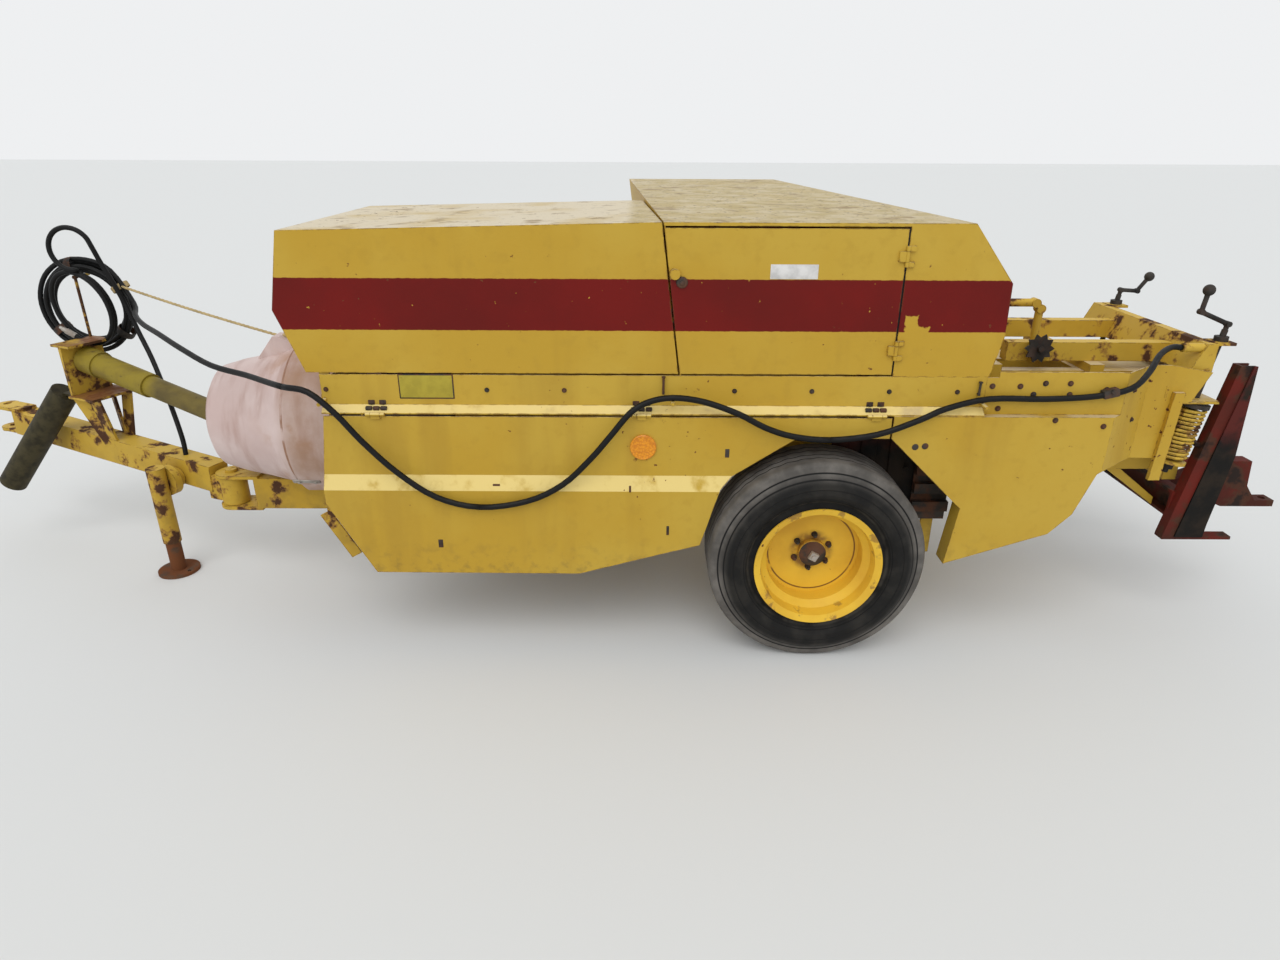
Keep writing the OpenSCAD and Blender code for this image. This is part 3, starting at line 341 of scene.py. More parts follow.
def yellow_paint():
    """The panels' paint: bleached on top, with a painted highlight on faces that slope up, dirty low down
    and rusty to the rear.
    """
    f = Finish("yellow_paint")
    top = f.up.step(0.55, 0.9) * f.grain(7, 5, shift=5).step(0.25, 0.6)
    colour = f.blend(aged_yellow(f), CREAM, top * 0.75)
    # Painted highlight: faces that slope up are made paler, as if lit from above
    lit_slope = f.up.step(0.12, 0.35) * f.up.step(0.97, 0.85) * f.grain(13, 5, shift=6).step(0.25, 0.5)
    colour = f.blend(colour, LIT_SLOPE_YELLOW, lit_slope * 0.85)
    splash = f.z.step(0.48, 0.30) * f.grain(26, 6, shift=7).step(0.48, 0.70)
    colour = f.blend(colour, GRIME, splash * 0.35)
    # Dark edges: partly worn paint, partly painted shade in seams and creases
    colour = f.blend(colour, WORN_AND_SHADED_EDGE, f.edges() * 0.85)
    rear = f.x.step(AXLE_X + 0.45, AXLE_X + 1.2)
    scraped = f.x.within(AXLE_X + 0.74, AXLE_X + 0.96, 0.04) * f.z.within(0.66, 0.80, 0.03)
    colour, specks = rusted(f, colour, rear * 0.034 + scraped * 0.055)
    return weathered(f, colour, specks, 0.42)


def peeled_patch(f):
    """Where the stripe has come off near the door: an upright strip with a foot, both with torn edges."""
    torn = (f.grain(28, 5, shift=9) - 0.5) * 0.045
    along, height = f.x + torn, f.z + torn
    strip = along.within(AXLE_X + 0.222, AXLE_X + 0.262, 0.002) * height.within(1.130, 1.203, 0.002)
    foot = along.within(AXLE_X + 0.222, AXLE_X + 0.300, 0.002) * height.within(1.130, 1.165, 0.002)
    return strip.either(foot)


def bleached_top(f):
    """The hoods' tops: cream turning to straw, browner on the rear hood, with blotches and dark spots."""
    straw, ochre = (0.54, 0.39, 0.14), (0.42, 0.31, 0.10)
    brown, spot = (0.26, 0.16, 0.05), (0.12, 0.07, 0.03)
    rear_hood = f.x.step(AXLE_X - 0.66, AXLE_X - 0.62)
    colour = f.blend(CREAM, straw, f.grain(4, 4, shift=6).step(0.45, 0.70) * 0.8)
    mottle = 0.40 + f.grain(12, 5, shift=8).step(0.35, 0.65) * 0.5
    colour = f.blend(colour, ochre, rear_hood * mottle)
    colour = f.blend(colour, brown, f.grain(9, 6, shift=11).step(0.57, 0.68) * 0.8)
    spots = f.grain(46, 3, shift=13).step(0.625, 0.66) * (0.35 + rear_hood * 0.6)
    return f.blend(colour, spot, spots)


def striped_paint():
    """The hoods' paint: a red stripe along the side and bleached, spotted tops."""
    f = Finish("striped_paint")
    wavy = f.grain(60, 3, shift=2) * 0.004
    stripe = (f.z + wavy).within(STRIPE_LOW, STRIPE_HIGH, 0.0012) * (1 - f.up.step(0.3, 0.7))
    red = f.blend(STRIPE_RED, DEEP_RED, f.grain(3, 5, shift=4).step(0.35, 0.7))
    chipped = peeled_patch(f).either(f.grain(55, 4, shift=4).step(0.715, 0.73))
    colour = f.blend(aged_yellow(f, 0.6), red, stripe * (1 - chipped))
    colour = f.blend(colour, bleached_top(f), f.up.step(0.5, 0.85))
    # Dark edges: partly worn paint, partly painted shade in seams and creases
    colour = f.blend(colour, WORN_AND_SHADED_EDGE, f.edges(0.006, 2.0) * 0.85)
    colour, specks = rusted(f, colour, 0.012, 0.3)
    return weathered(f, colour, specks, 0.40)


def rusty_yellow(name, wear, bare_top=0.0):
    """Paint of the drawbar, stand and rear end, worn through to rust; wear 0.03 is twice the rust of 0."""
    sunlit, thin_rust, deep_rust = (0.64, 0.42, 0.06), (0.27, 0.13, 0.035), (0.075, 0.032, 0.015)
    worn_and_shaded_edge, bare = (0.10, 0.045, 0.018), (0.21, 0.085, 0.03)
    f = Finish(name)
    worn = f.grain(11, 8, shift=1.3, roughness=0.62)
    colour = f.blend(aged_yellow(f, 2.2), sunlit, f.up.step(0.0, 0.8) * 0.7)
    colour = f.blend(colour, thin_rust, (worn + wear).step(0.55, 0.60) * 0.8)
    colour = f.blend(colour, deep_rust, (worn + wear).step(0.595, 0.63))
    # Dark edges: partly worn paint, partly painted shade in seams and creases
    colour = f.blend(colour, worn_and_shaded_edge, f.edges(0.006, 1.0) * 0.9)
    if bare_top:
        flat = f.up.step(0.8, 0.95) * f.grain(6, 5, shift=4).step(0.30, 0.45)
        colour = f.blend(colour, bare, flat * bare_top)
    colour = f.blend(colour, GRIME, f.z.step(0.55, 0.15) * f.grain(14, 5, shift=3).step(0.42, 0.65) * 0.5)
    return f.set(colour, 0.5 + worn.step(0.5, 0.62) * 0.35, relief=worn, depth=0.002)


def plain_metal(name, dark, light, rust_share, roughness, metallic):
    """Bare or dark metal with a film of rust."""
    f = Finish(name)
    tone = f.grain(12, 6)
    colour = f.blend(dark, light, tone.step(0.35, 0.65))
    film = f.grain(20, 7, shift=8).step(0.50 - rust_share * 0.2, 0.70 - rust_share * 0.2)
    colour = f.blend(colour, RUST, film * rust_share)
    return f.set(colour, roughness + film * 0.25, metallic=metallic * (1 - film), relief=tone, depth=0.001)


def rusty_red():
    """The end frame's dull red, rusted brown and black in patches."""
    red, dark_red = (0.135, 0.014, 0.008), (0.060, 0.014, 0.008)
    brown, black = (0.07, 0.026, 0.014), (0.022, 0.012, 0.009)
    f = Finish("red_paint")
    worn = f.grain(10, 7)
    colour = f.blend(red, dark_red, f.grain(3, 5, shift=2).step(0.35, 0.60))
    colour = f.blend(colour, brown, worn.step(0.48, 0.56))
    colour = f.blend(colour, black, worn.step(0.55, 0.64))
    return f.set(colour, 0.72, relief=worn, depth=0.002)


def shaded_black_plate():
    """The plates inside the red end frame and the flap behind the wheel: near black below, partly their own
    dark colour and partly painted shade of those recesses, rusty red above.
    """
    black_and_shade, dull_black_and_shade, rusty = (0.006, 0.005, 0.004), (0.020, 0.013, 0.008), (0.090, 0.014, 0.010)
    f = Finish("shaded_black_plate")
    worn = f.grain(9, 6)
    high = (f.z + worn * 0.16).step(0.76, 0.86)
    # Near black: partly the plates' own colour, partly painted shade inside the frame and the wheel arch
    colour = f.blend(black_and_shade, dull_black_and_shade, worn.step(0.45, 0.65))
    colour = f.blend(colour, rusty, high * f.grain(14, 6, shift=2).step(0.35, 0.55))
    return f.set(colour, 0.7, relief=worn, depth=0.002)


def cover_plastic():
    """The faded bell round the flywheel, pink-white with a brown line near its rear rim."""
    pink, pale_pink, streak = (0.56, 0.42, 0.39), (0.66, 0.53, 0.50), (0.44, 0.29, 0.25)
    stained, line, rear_brown = (0.40, 0.20, 0.10), (0.25, 0.12, 0.07), (0.36, 0.21, 0.13)
    f = Finish("cover_plastic")
    streaks = f.grain(16, 5, stretch=(1, 0.22, 0.22))
    colour = f.blend(pink, pale_pink, f.grain(3.5, 4, shift=2).step(0.35, 0.65))
    colour = f.blend(colour, streak, streaks.step(0.48, 0.70) * 0.7)
    stain = f.grain(9, 6, shift=5).step(0.52, 0.72) * f.x.step(-1.18, -0.98)
    colour = f.blend(colour, stained, stain * 0.7)
    ring = f.x.within(-1.024, -1.010, 0.002)
    colour = f.blend(colour, line, ring * f.grain(14, 4).step(0.3, 0.55))
    rear_dirt = f.x.step(-1.07, -0.96) * (0.35 + f.grain(6, 5, shift=7).step(0.3, 0.65) * 0.5)
    colour = f.blend(colour, rear_brown, rear_dirt)
    return f.set(colour, 0.55, relief=streaks, depth=0.006)


def plain_finish(name, colour, roughness, depth, shade):
    """One colour with marks that keep only a share of it."""
    f = Finish(name)
    tone = f.grain(30, 5)
    darker = tuple(c * shade for c in colour)
    return f.set(f.blend(colour, darker, tone.step(0.35, 0.7)), roughness, relief=tone, depth=depth)


def from_hub(f):
    """How far behind the axle, above it and away from it each point of a wheel is."""
    behind, above = f.x - AXLE_X, f.z - WHEEL_Z
    return behind, above, (behind * behind + above * above).math("SQRT")


def worn_rubber():
    """The tyres: dusty black, greyer at the shoulder, with moulded rings and wavy grooves in the tread."""
    black, dusty, shoulder_grey = (0.010, 0.0095, 0.009), (0.030, 0.027, 0.023), (0.20, 0.182, 0.163)
    bead_dust, ring_black, groove_black = (0.10, 0.09, 0.075), (0.008, 0.008, 0.008), (0.010, 0.009, 0.008)
    f = Finish("tyre_rubber")
    behind, above, radius = from_hub(f)
    dust = f.grain(13, 6)
    fine = f.grain(70, 4, shift=1)
    colour = f.blend(black, dusty, dust.step(0.40, 0.70) * 0.7)
    shoulder = radius.step(0.300, 0.345) * (0.45 + dust.step(0.30, 0.75) * 0.55)
    colour = f.blend(colour, shoulder_grey, shoulder * 0.85)
    bead = radius.within(0.232, 0.240, 0.003)
    colour = f.blend(colour, bead_dust, bead * dust.step(0.3, 0.6) * 0.6)
    rings = radius.bands(
        (0.318, 0.322, 0.0015), (0.336, 0.341, 0.0015), (0.250, 0.252, 0.001), (0.286, 0.288, 0.001)
    )
    colour = f.blend(colour, ring_black, rings)
    wave = (above.math("ARCTAN2", behind) * 44).math("SINE") * 0.003
    from_middle = abs(abs(f.y) - WHEEL_Y) + wave
    grooves = from_middle.bands((0.016, 0.021, 0.001), (0.047, 0.052, 0.001)) * radius.step(0.352, 0.358)
    colour = f.blend(colour, groove_black, grooves)
    relief = dust * 0.4 + fine * 0.3 - rings * 2.0 - grooves * 3.0
    return f.set(colour, 0.75, relief=relief, depth=0.002)


def hose_rubber():
    """Black rubber hose with fine grey dust on top."""
    f = Finish("hose_rubber")
    dusty = f.up.step(0.3, 0.95) * f.grain(35, 5).step(0.4, 0.7) * 0.6
    colour = f.blend((0.006, 0.006, 0.006), (0.030, 0.028, 0.025), dusty)
    return f.set(colour, 0.5, relief=f.grain(260, 2), depth=0.0003)


def rim_yellow():
    """The wheel's paint, with a dark groove round the disc, partly rust and partly painted shade, and dirt
    in the well.
    """
    warm, deep = (0.80, 0.50, 0.045), (0.66, 0.38, 0.035)
    groove_rust_and_shade, hub_rust, well_dirt = (0.16, 0.07, 0.025), (0.20, 0.09, 0.03), (0.24, 0.12, 0.04)
    f = Finish("rim_yellow")
    radius = from_hub(f)[2]
    worn = f.grain(16, 6, shift=2)
    colour = f.blend(warm, deep, f.grain(5, 4).step(0.35, 0.7))
    # The groove's dark ring is partly rust and partly painted shade in the recess
    colour = f.blend(colour, groove_rust_and_shade, radius.within(0.150, 0.155, 0.002) * worn.step(0.30, 0.45))
    colour = f.blend(colour, hub_rust, radius.step(0.086, 0.060) * worn.step(0.38, 0.60) * 0.8)
    colour = f.blend(colour, well_dirt, radius.step(0.183, 0.192) * worn.step(0.59, 0.65) * 0.7)
    colour, specks = rusted(f, colour, 0.0, 1.9)
    return f.set(colour, 0.42 + specks * 0.3, relief=worn, depth=0.0008)


def guard_plastic():
    """The shaft's guard: dusty greenish yellow in front, greyer behind its joint ring."""
    f = Finish("guard_plastic")
    dirt = f.grain(14, 6, stretch=(0.6, 1, 1))
    patches = dirt.step(0.4, 0.7)
    front_tone = f.blend((0.27, 0.20, 0.022), (0.19, 0.135, 0.022), patches)
    rear_tone = f.blend((0.17, 0.125, 0.030), (0.11, 0.08, 0.025), patches)
    colour = f.blend(front_tone, rear_tone, f.x.step(-1.72, -1.66))
    colour = f.blend(colour, (0.07, 0.045, 0.02), f.grain(22, 6, shift=3).step(0.62, 0.72) * 0.8)
    return f.set(colour, 0.55, relief=dirt, depth=0.001)


def orange_lens():
    """Orange reflector with a honeycomb of small facets."""
    f = Finish("orange_lens")
    cells = f.node("ShaderNodeTexVoronoi", inputs={"Vector": f.place, "Scale": 160.0})
    colour = f.blend((0.80, 0.30, 0.004), (0.62, 0.20, 0.002), cells.step(0.2, 0.8))
    return f.set(colour, 0.22, relief=cells, depth=0.001, coat=0.6)


# Dark and light tone, share of rust, roughness, metallic
METALS = {
    "dark_steel": ((0.03, 0.028, 0.026), (0.06, 0.052, 0.045), 0.5, 0.55, 0.3),
    "worn_steel": ((0.22, 0.21, 0.20), (0.32, 0.30, 0.28), 0.5, 0.35, 0.8),
    "crank_steel": ((0.020, 0.019, 0.018), (0.060, 0.052, 0.045), 0.15, 0.6, 0.2),
    "rusty_steel": ((0.07, 0.045, 0.03), (0.13, 0.07, 0.04), 0.9, 0.75, 0.2),
    "pale_nut": ((0.30, 0.28, 0.25), (0.42, 0.39, 0.35), 0.25, 0.45, 0.4),
}

# Colour, roughness, depth of the relief, share of the colour that the marks keep
PLAIN_FINISHES = {
    "grey_plastic": ((0.052, 0.042, 0.018), 0.6, 0.0005, 0.45),
    "blank_plate": ((0.42, 0.33, 0.04), 0.5, 0.0005, 0.85),
    "blank_sticker": ((0.72, 0.70, 0.68), 0.5, 0.0005, 0.75),
    "old_rope": ((0.52, 0.39, 0.19), 0.9, 0.002, 0.75),
}

FINISHES = {
    "yellow_paint": yellow_paint(),
    "striped_paint": striped_paint(),
    "rusty_yellow": rusty_yellow("rusty_yellow", 0.018),
    "worn_yellow": rusty_yellow("worn_yellow", 0.035),
    "tower_paint": rusty_yellow("tower_paint", 0.085, bare_top=0.9),
    "red_paint": rusty_red(),
    "shaded_black_plate": shaded_black_plate(),
    "rim_yellow": rim_yellow(),
    "tyre_rubber": worn_rubber(),
    "hose_rubber": hose_rubber(),
    "cover_plastic": cover_plastic(),
    "guard_plastic": guard_plastic(),
    "orange_lens": orange_lens(),
    **{name: plain_metal(name, *row) for name, row in METALS.items()},
    **{name: plain_finish(name, *row) for name, row in PLAIN_FINISHES.items()},
}

NODE_FINISHES = {
    "yellow_paint": "bale_chamber side_band rear_shield feeder_housing axle front_shield "
                    "pickup_frame windguard needles",
    "striped_paint": "front_hood rear_hood knotter_door",
    "rusty_yellow": "chassis_tongue drawbar tension_beam knotter_tube",
    "tower_paint": "shaft_tower",
    "worn_yellow": "jack_leg tension_springs",
    "rim_yellow": "rim_left rim_right",
    "guard_plastic": "shaft_guard",
    "red_paint": "end_frame rear_hitch",
    "dark_steel": "gearbox feeder_forks knotters plunger flywheel pickup_bands wheel_guard",
    "crank_steel": "tension_cranks bale_meter",
    "shaded_black_plate": "end_plates",
    "worn_steel": "pickup_reel",
    "rusty_steel": "jack_foot",
    "tyre_rubber": "tyre_left tyre_right gauge_wheel",
    "cover_plastic": "flywheel_cover",
    "grey_plastic": "open_guard",
}


def dress_nodes():
    for finish, names in NODE_FINISHES.items():
        for name in names.split():
            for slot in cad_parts[name].material_slots:
                slot.material = FINISHES[finish]


# Cords: two hydraulic hoses and a taut rope

HOSE_R = 0.010
CURVE_STEPS = 4
DEGREES_A_POINT = 30

# The hose's route up to the coil, in millimetres, as the part's source has it
HOSE_ROUTE = [
    (1225, -355, 1062), (1185, -362, 1064), (1115, -420, 1052), (1045, -496, 1013), (970, -546, 974),
    (860, -548, 948), (700, -548, 938), (520, -550, 938), (380, -568, 911), (290, -588, 878),
    (160, -592, 830), (10, -592, 811), (-110, -592, 822), (-200, -590, 850), (-290, -588, 896),
    (-400, -576, 932), (-500, -572, 944), (-580, -576, 930), (-638, -588, 896), (-700, -597, 822),
    (-767, -600, 742), (-860, -600, 652), (-980, -600, 592), (-1138, -600, 570), (-1280, -600, 606),
    (-1400, -600, 694), (-1500, -600, 800), (-1575, -600, 896), (-1655, -592, 964), (-1740, -570, 974),
    (-1830, -495, 970), (-1930, -415, 969), (-2090, -320, 976), (-2250, -205, 1008), (-2400, -70, 1030),
    (-2540, 80, 1032), (-2660, 240, 1034), (-2730, 360, 1060),
]

# The coil that hangs on the tower's peg, in millimetres, with what is tied round it: its places on the
# coil in degrees, and half its width in metres
COIL = Vector((-2961, 425, 1035))
COIL_R = 170
COIL_TURNS = 4.7
COIL_START = 50
STRAND_R = 23
STRAND_DEGREES = 6
UNEVEN = 7
UNEVEN_TURN = 0.37
STRAPS_AT = (100, 215, 320)
STRAP_HALF = 0.012
KNOT_AT = 28
KNOT_HALF = 0.010

# The second hose's way up from the drawbar, in millimetres
SECOND_ROUTE = [
    (-2500, 98, 436), (-2501, 100, 480), (-2507, 112, 540), (-2540, 150, 630), (-2600, 220, 730),
    (-2672, 300, 840), (-2735, 350, 950), (-2768, 364, 1050), (-2798, 364, 1140), (-2830, 364, 1225),
]

# Its small loop over the coil, then its loose turns in the coil: an oval that leans, by its cosine and sine
LOOP = Vector((-2930, 358, 1280))
LOOP_R = 84
LOOP_START = 5
LOOP_DRIFT = -2.0
LOOP_POINTS = 10
LOOSE = Vector((-2944, 368, 1040))
LOOSE_ACROSS, LOOSE_UP = 112, 152
LOOSE_LEAN = (0.94, 0.34)
LOOSE_START = 62
LOOSE_DRIFT = -1.6
LOOSE_POINTS = 20

# The rope from the coil to the flywheel's cover, in metres
ROPE_AT_COIL = at(-2.782, 0.392, 1.122)
ROPE_AT_COVER = at(-1.955, 0.0, 1.0)
ROPE_SAG = 0.006
ROPE_STEPS = 90
ROPE_STRAND_R = 0.0031
ROPE_STRAND_OUT = 0.0026
ROPE_TWIST = 0.9
THIRD_OF_A_TURN = 2.094


def smooth(points):
    """A smooth curve through the points, with CURVE_STEPS steps from one to the next."""
    route = [Vector(p) for p in points]
    around = [2 * route[0] - route[1], *route, 2 * route[-1] - route[-2]]
    path = []
    for a, b, c, d in zip(around, around[1:], around[2:], around[3:]):
        slope = c - a
        bend = 2 * a - 5 * b + 4 * c - d
        swing = 3 * b - a - 3 * c + d
        for k in range(CURVE_STEPS):
            t = k / CURVE_STEPS
            path.append(0.5 * (2 * b + slope * t + bend * t ** 2 + swing * t ** 3))
    return [*path, route[-1]]


def path_length(path):
    return round(sum((b - a).length for a, b in zip(path, path[1:])), 3)


def frames(path):
    """Each point of a path with two directions across it that never twist."""
    last = len(path) - 1
    side = None
    for i, p in enumerate(path):
        run = (path[min(i + 1, last)] - path[max(i - 1, 0)]).normalized()
        side = run.orthogonal() if side is None else side
        side = (side - run * side.dot(run)).normalized()
        yield p, side, run.cross(side)


def tube(name, paths, radius, finish, sides=12):
    """A round mesh tube along each path."""
    points, faces = [], []
    for path in paths:
        first = len(points)
        for p, side, other in frames(path):
            turns = (math.tau * k / sides for k in range(sides))
            points.extend(p + radius * (math.cos(turn) * side + math.sin(turn) * other) for turn in turns)
        for i in range(len(path) - 1):
            for k in range(sides):
                a, b = first + i * sides + k, first + i * sides + (k + 1) % sides
                faces.append((a, b, b + sides, a + sides))
        faces.append(tuple(reversed(range(first, first + sides))))
        faces.append(tuple(range(len(points) - sides, len(points))))
    mesh = bpy.data.meshes.new(name)
    mesh.from_pydata(points, [], faces)
    for face in mesh.polygons:
        face.use_smooth = len(face.vertices) == 4
    mesh.materials.append(FINISHES[finish])
    piece = bpy.data.objects.new(name, mesh)
    bpy.context.scene.collection.objects.link(piece)
    return piece


def hose_cord(path):
    """Works out a hose piece's first point, its length and its points, and keeps none of them."""
    tuple(path[0])
    path_length(path)
    [tuple(p) for p in path]


def coil_turns():
    """Turns of hose that wind round each other in an uneven ring on the tower's peg."""
    points = []
    for i in range(int(360 / DEGREES_A_POINT * COIL_TURNS)):
        angle = math.radians(COIL_START + DEGREES_A_POINT * i)
        lay = math.radians(STRAND_DEGREES * i)
        out = COIL_R + STRAND_R * math.cos(lay) + UNEVEN * math.sin(UNEVEN_TURN * i)
        sideways = -STRAND_R * math.sin(lay)
        points.append(COIL + Vector((out * math.cos(angle), sideways, out * math.sin(angle))))
    return points


def lay_hose():
    """The long hose in four pieces, baked where they lie, with a coupling on the coiled end; they hide the
    model's hose nodes that they replace.
    """
    route = [metres(p) for p in HOSE_ROUTE + coil_turns()]
    whole = smooth(route)
    # First and last point of each piece on the route, and the nodes that it stands for
    spans = {
        "hose_rear": (0, 11, ("hose_side",)),
        "hose_middle": (11, 23, ("hose_sag",)),
        "hose_front": (23, 29, ()),
        "hose_coiled": (29, len(route) - 1, ("hose_coil",)),
    }
    for name, (first, last, replaced) in spans.items():
        path = whole[CURVE_STEPS * first: CURVE_STEPS * last + 1]
        piece = tube(name, [path], HOSE_R, "hose_rubber")
        if name == "hose_rear":
            start, end = at(0.40, -0.57, 0.90), at(0.30, -0.57, 0.90)
            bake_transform(piece)
        elif name == "hose_coiled":
            start, end = along_drawbar(-0.25, 0, 1), along_drawbar(0.3, 0, 1)
            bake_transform(piece)
            end_pieces = [coupling("hose_coupling", path[-1], path[-1] - path[-2])]
        else:
            start, end = at(-0.5, -0.58, 0.94), at(-0.5, -0.58, 0.86)
            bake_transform(piece)
        if replaced:
            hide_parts(*replaced)
        hose_cord(path)


def lay_second_hose():
    """A hose from the drawbar up to the coil: a small loop over it, then loose turns inside it."""
    points = [Vector(p) for p in SECOND_ROUTE]
    for i in range(LOOP_POINTS):
        angle = math.radians(LOOP_START + DEGREES_A_POINT * i)
        points.append(LOOP + Vector((LOOP_R * math.cos(angle), LOOP_DRIFT * i, LOOP_R * math.sin(angle))))
    c, n = LOOSE_LEAN
    for i in range(LOOSE_POINTS):
        angle = math.radians(LOOSE_START - DEGREES_A_POINT * i)
        across, up = LOOSE_ACROSS * math.cos(angle), LOOSE_UP * math.sin(angle)
        points.append(LOOSE + Vector((c * across - n * up, LOOSE_DRIFT * i, n * across + c * up)))
    path = smooth([metres(p) for p in points])
    piece = tube("second_hose", [path], HOSE_R, "hose_rubber")
    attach(piece, "drawbar")
    end = coupling("second_coupling", path[-1], path[-1] - path[-2])
    hose_cord(path)


def tie_round_coil(made, degrees, half):
    """A band round all the coil's turns at that many degrees on the coil; half is half its width."""
    turn = math.radians(degrees)
    place = COIL + COIL_R * Vector((math.cos(turn), 0, math.sin(turn)))
    band = [
        (0.0335, -half), (0.0355, -half * 1.2), (0.0370, -half * 0.5), (0.0360, 0.0),
        (0.0370, half * 0.5), (0.0355, half * 1.2), (0.0335, half), (0.0335, -half),
    ]
    made.turned(metres(place), (-math.sin(turn), 0, math.cos(turn)), band, 24)


def lay_rope(knot_at_coil):
    """A thin rope of three strands, pulled taut from the coil to the cover."""
    middle = []
    for i in range(ROPE_STEPS + 1):
        sag = Vector((0, 0, -ROPE_SAG * math.sin(math.pi * i / ROPE_STEPS)))
        middle.append(ROPE_AT_COIL.lerp(ROPE_AT_COVER, i / ROPE_STEPS) + sag)
    strands = [[], [], []]
    for i, (p, side, other) in enumerate(frames(middle)):
        for k, strand in enumerate(strands):
            turn = i * ROPE_TWIST + k * THIRD_OF_A_TURN
            strand.append(p + ROPE_STRAND_OUT * (math.cos(turn) * side + math.sin(turn) * other))
    rope = tube("taut_rope", strands, ROPE_STRAND_R, "old_rope", 8)
    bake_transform(rope)
    path_length(middle)


def tie_coil():
    """Straps round the coil, and the taut rope from it to the cover of the flywheel."""
    straps = Piece("coil_straps")
    for degrees in STRAPS_AT:
        tie_round_coil(straps, degrees, STRAP_HALF)
    straps.done("drawbar", "dark_steel")
    rope_knot = Piece("rope_knot")
    tie_round_coil(rope_knot, KNOT_AT, KNOT_HALF)
    lay_rope(rope_knot.done("drawbar", "old_rope"))
    lump = [(0, -0.001), (0.012, -0.001), (0.014, 0.004), (0.010, 0.010), (0, 0.012)]
    knot = Piece("rope_end_knot")
    over, down = ROPE_AT_COVER + Vector((0, 0, 0.4)), Vector((0, 0, -1))
    place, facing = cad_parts["flywheel_cover"].ray_cast(over, down)[1:3]
    knot.turned(place, facing, lump, 16)
    knot.done("chassis", "old_rope")


# Fittings

SMOOTH_BELOW = math.radians(35)
HEXAGON = 6

# Where a level line that looks for a surface starts, well outside the machine's left and right
OUTSIDE = {LEFT: -3.0, RIGHT: 4.0}


class Piece:
    """One added piece, put together from turned and bevelled shapes."""

    def __init__(self, name):
        self.name = name
        self.mesh = bmesh.new()

    def turned(self, place, axis, profile, sides=24, twist=0.0):
        """A shape of revolution; profile holds radius and distance along the axis, from end to end."""
        run = Vector(axis).normalized()
        side = run.orthogonal().normalized() if abs(run.y) < 0.9 else Vector((1, 0, 0))
        side = (side - run * side.dot(run)).normalized()
        other = run.cross(side)
        rings = []
        for radius, along in profile:
            centre = place + run * along
            if radius == 0:
                rings.append([self.mesh.verts.new(centre)] * sides)
                continue
            ring = []
            for k in range(sides):
                turn = math.tau * k / sides + twist
                corner = centre + radius * (math.cos(turn) * side + math.sin(turn) * other)
                ring.append(self.mesh.verts.new(corner))
            rings.append(ring)
        for low, high in zip(rings, rings[1:]):
            for k in range(sides):
                corners = [low[k], low[(k + 1) % sides], high[(k + 1) % sides], high[k]]
                corners = list(dict.fromkeys(corners))
                if len(corners) > 2:
                    self.mesh.faces.new(corners)

    def bolt(self, place, axis, r, high=0.007):
        """A hexagon head on its washer; place is on the surface and axis points out of it."""
        washer = [(0, -0.001), (r * 1.45, -0.001), (r * 1.45, 0.0015), (0, 0.0015)]
        head = [(0, 0.001), (r, 0.001), (r, high * 0.8), (r * 0.8, high), (0, high)]
        self.turned(place, axis, washer, 20)
        self.turned(place, axis, head, HEXAGON)

    def block(self, place, size, tilt=None, bevel=0.0015):
        """A box with bevelled edges round a centre."""
        made = bmesh.ops.create_cube(self.mesh, size=1.0)
        shape = Matrix.Translation(place) @ (tilt or Matrix.Identity(4)) @ Matrix.Diagonal((*size, 1))
        bmesh.ops.transform(self.mesh, matrix=shape, verts=made["verts"])
        edges = list({edge for vert in made["verts"] for edge in vert.link_edges})
        bmesh.ops.bevel(self.mesh, geom=edges, offset=bevel, segments=2, affect="EDGES", profile=0.5)

    def done(self, body, finish):
        """Makes the object, which rides on that body, and gives it its slot and finish."""
        bmesh.ops.recalc_face_normals(self.mesh, faces=self.mesh.faces)
        mesh = bpy.data.meshes.new(self.name)
        self.mesh.to_mesh(mesh)
        self.mesh.free()
        mesh.materials.append(FINISHES[finish])
        piece = bpy.data.objects.new(self.name, mesh)
        bpy.context.scene.collection.objects.link(piece)
        mesh.shade_smooth()
        mesh.set_sharp_from_angle(angle=SMOOTH_BELOW)
        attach(piece, body)
        return piece


def surface(node, x, z, side=LEFT):
    """Where a level line from the left or right meets a node, and the way that its surface faces."""
    hit, place, facing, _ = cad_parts[node].ray_cast(at(x, OUTSIDE[side], z), Vector((0, -side, 0)))
    if not hit:
        raise ValueError(f"{node} isn't at x {x}, z {z}")
    return place, facing


def flat_on(facing):
    """The turn that lays a block's Y side flat on a surface that faces that way."""
    return facing.to_track_quat("Y", "Z").to_matrix().to_4x4()


def coupling(name, place, run):
    """A hose's end: a crimped sleeve, a hexagon and the plug."""
    sleeve = [
        (0, -0.014), (0.0120, -0.014), (0.0125, -0.010), (0.0118, 0.004), (0.0125, 0.008), (0.0120, 0.014),
        (0, 0.014),
    ]
    nut = [(0, 0.013), (0.0125, 0.013), (0.0125, 0.027), (0, 0.027)]
    plug = [
        (0, 0.026), (0.0095, 0.026), (0.0095, 0.041), (0.0070, 0.044), (0.0070, 0.052), (0.0055, 0.055),
        (0, 0.055),
    ]
    run = run.normalized()
    made = Piece(name)
    made.turned(place, run, sleeve)
    made.turned(place, run, nut, HEXAGON)
    made.turned(place, run, plug)
    return made.done("drawbar", "pale_nut")


# The wheels

WHEEL_NUTS = 6
NUT_CIRCLE_R = 0.064
FIRST_NUT = 0.4
# Where the rim's disc is met beside the hole in its middle
BESIDE_HUB = 0.028


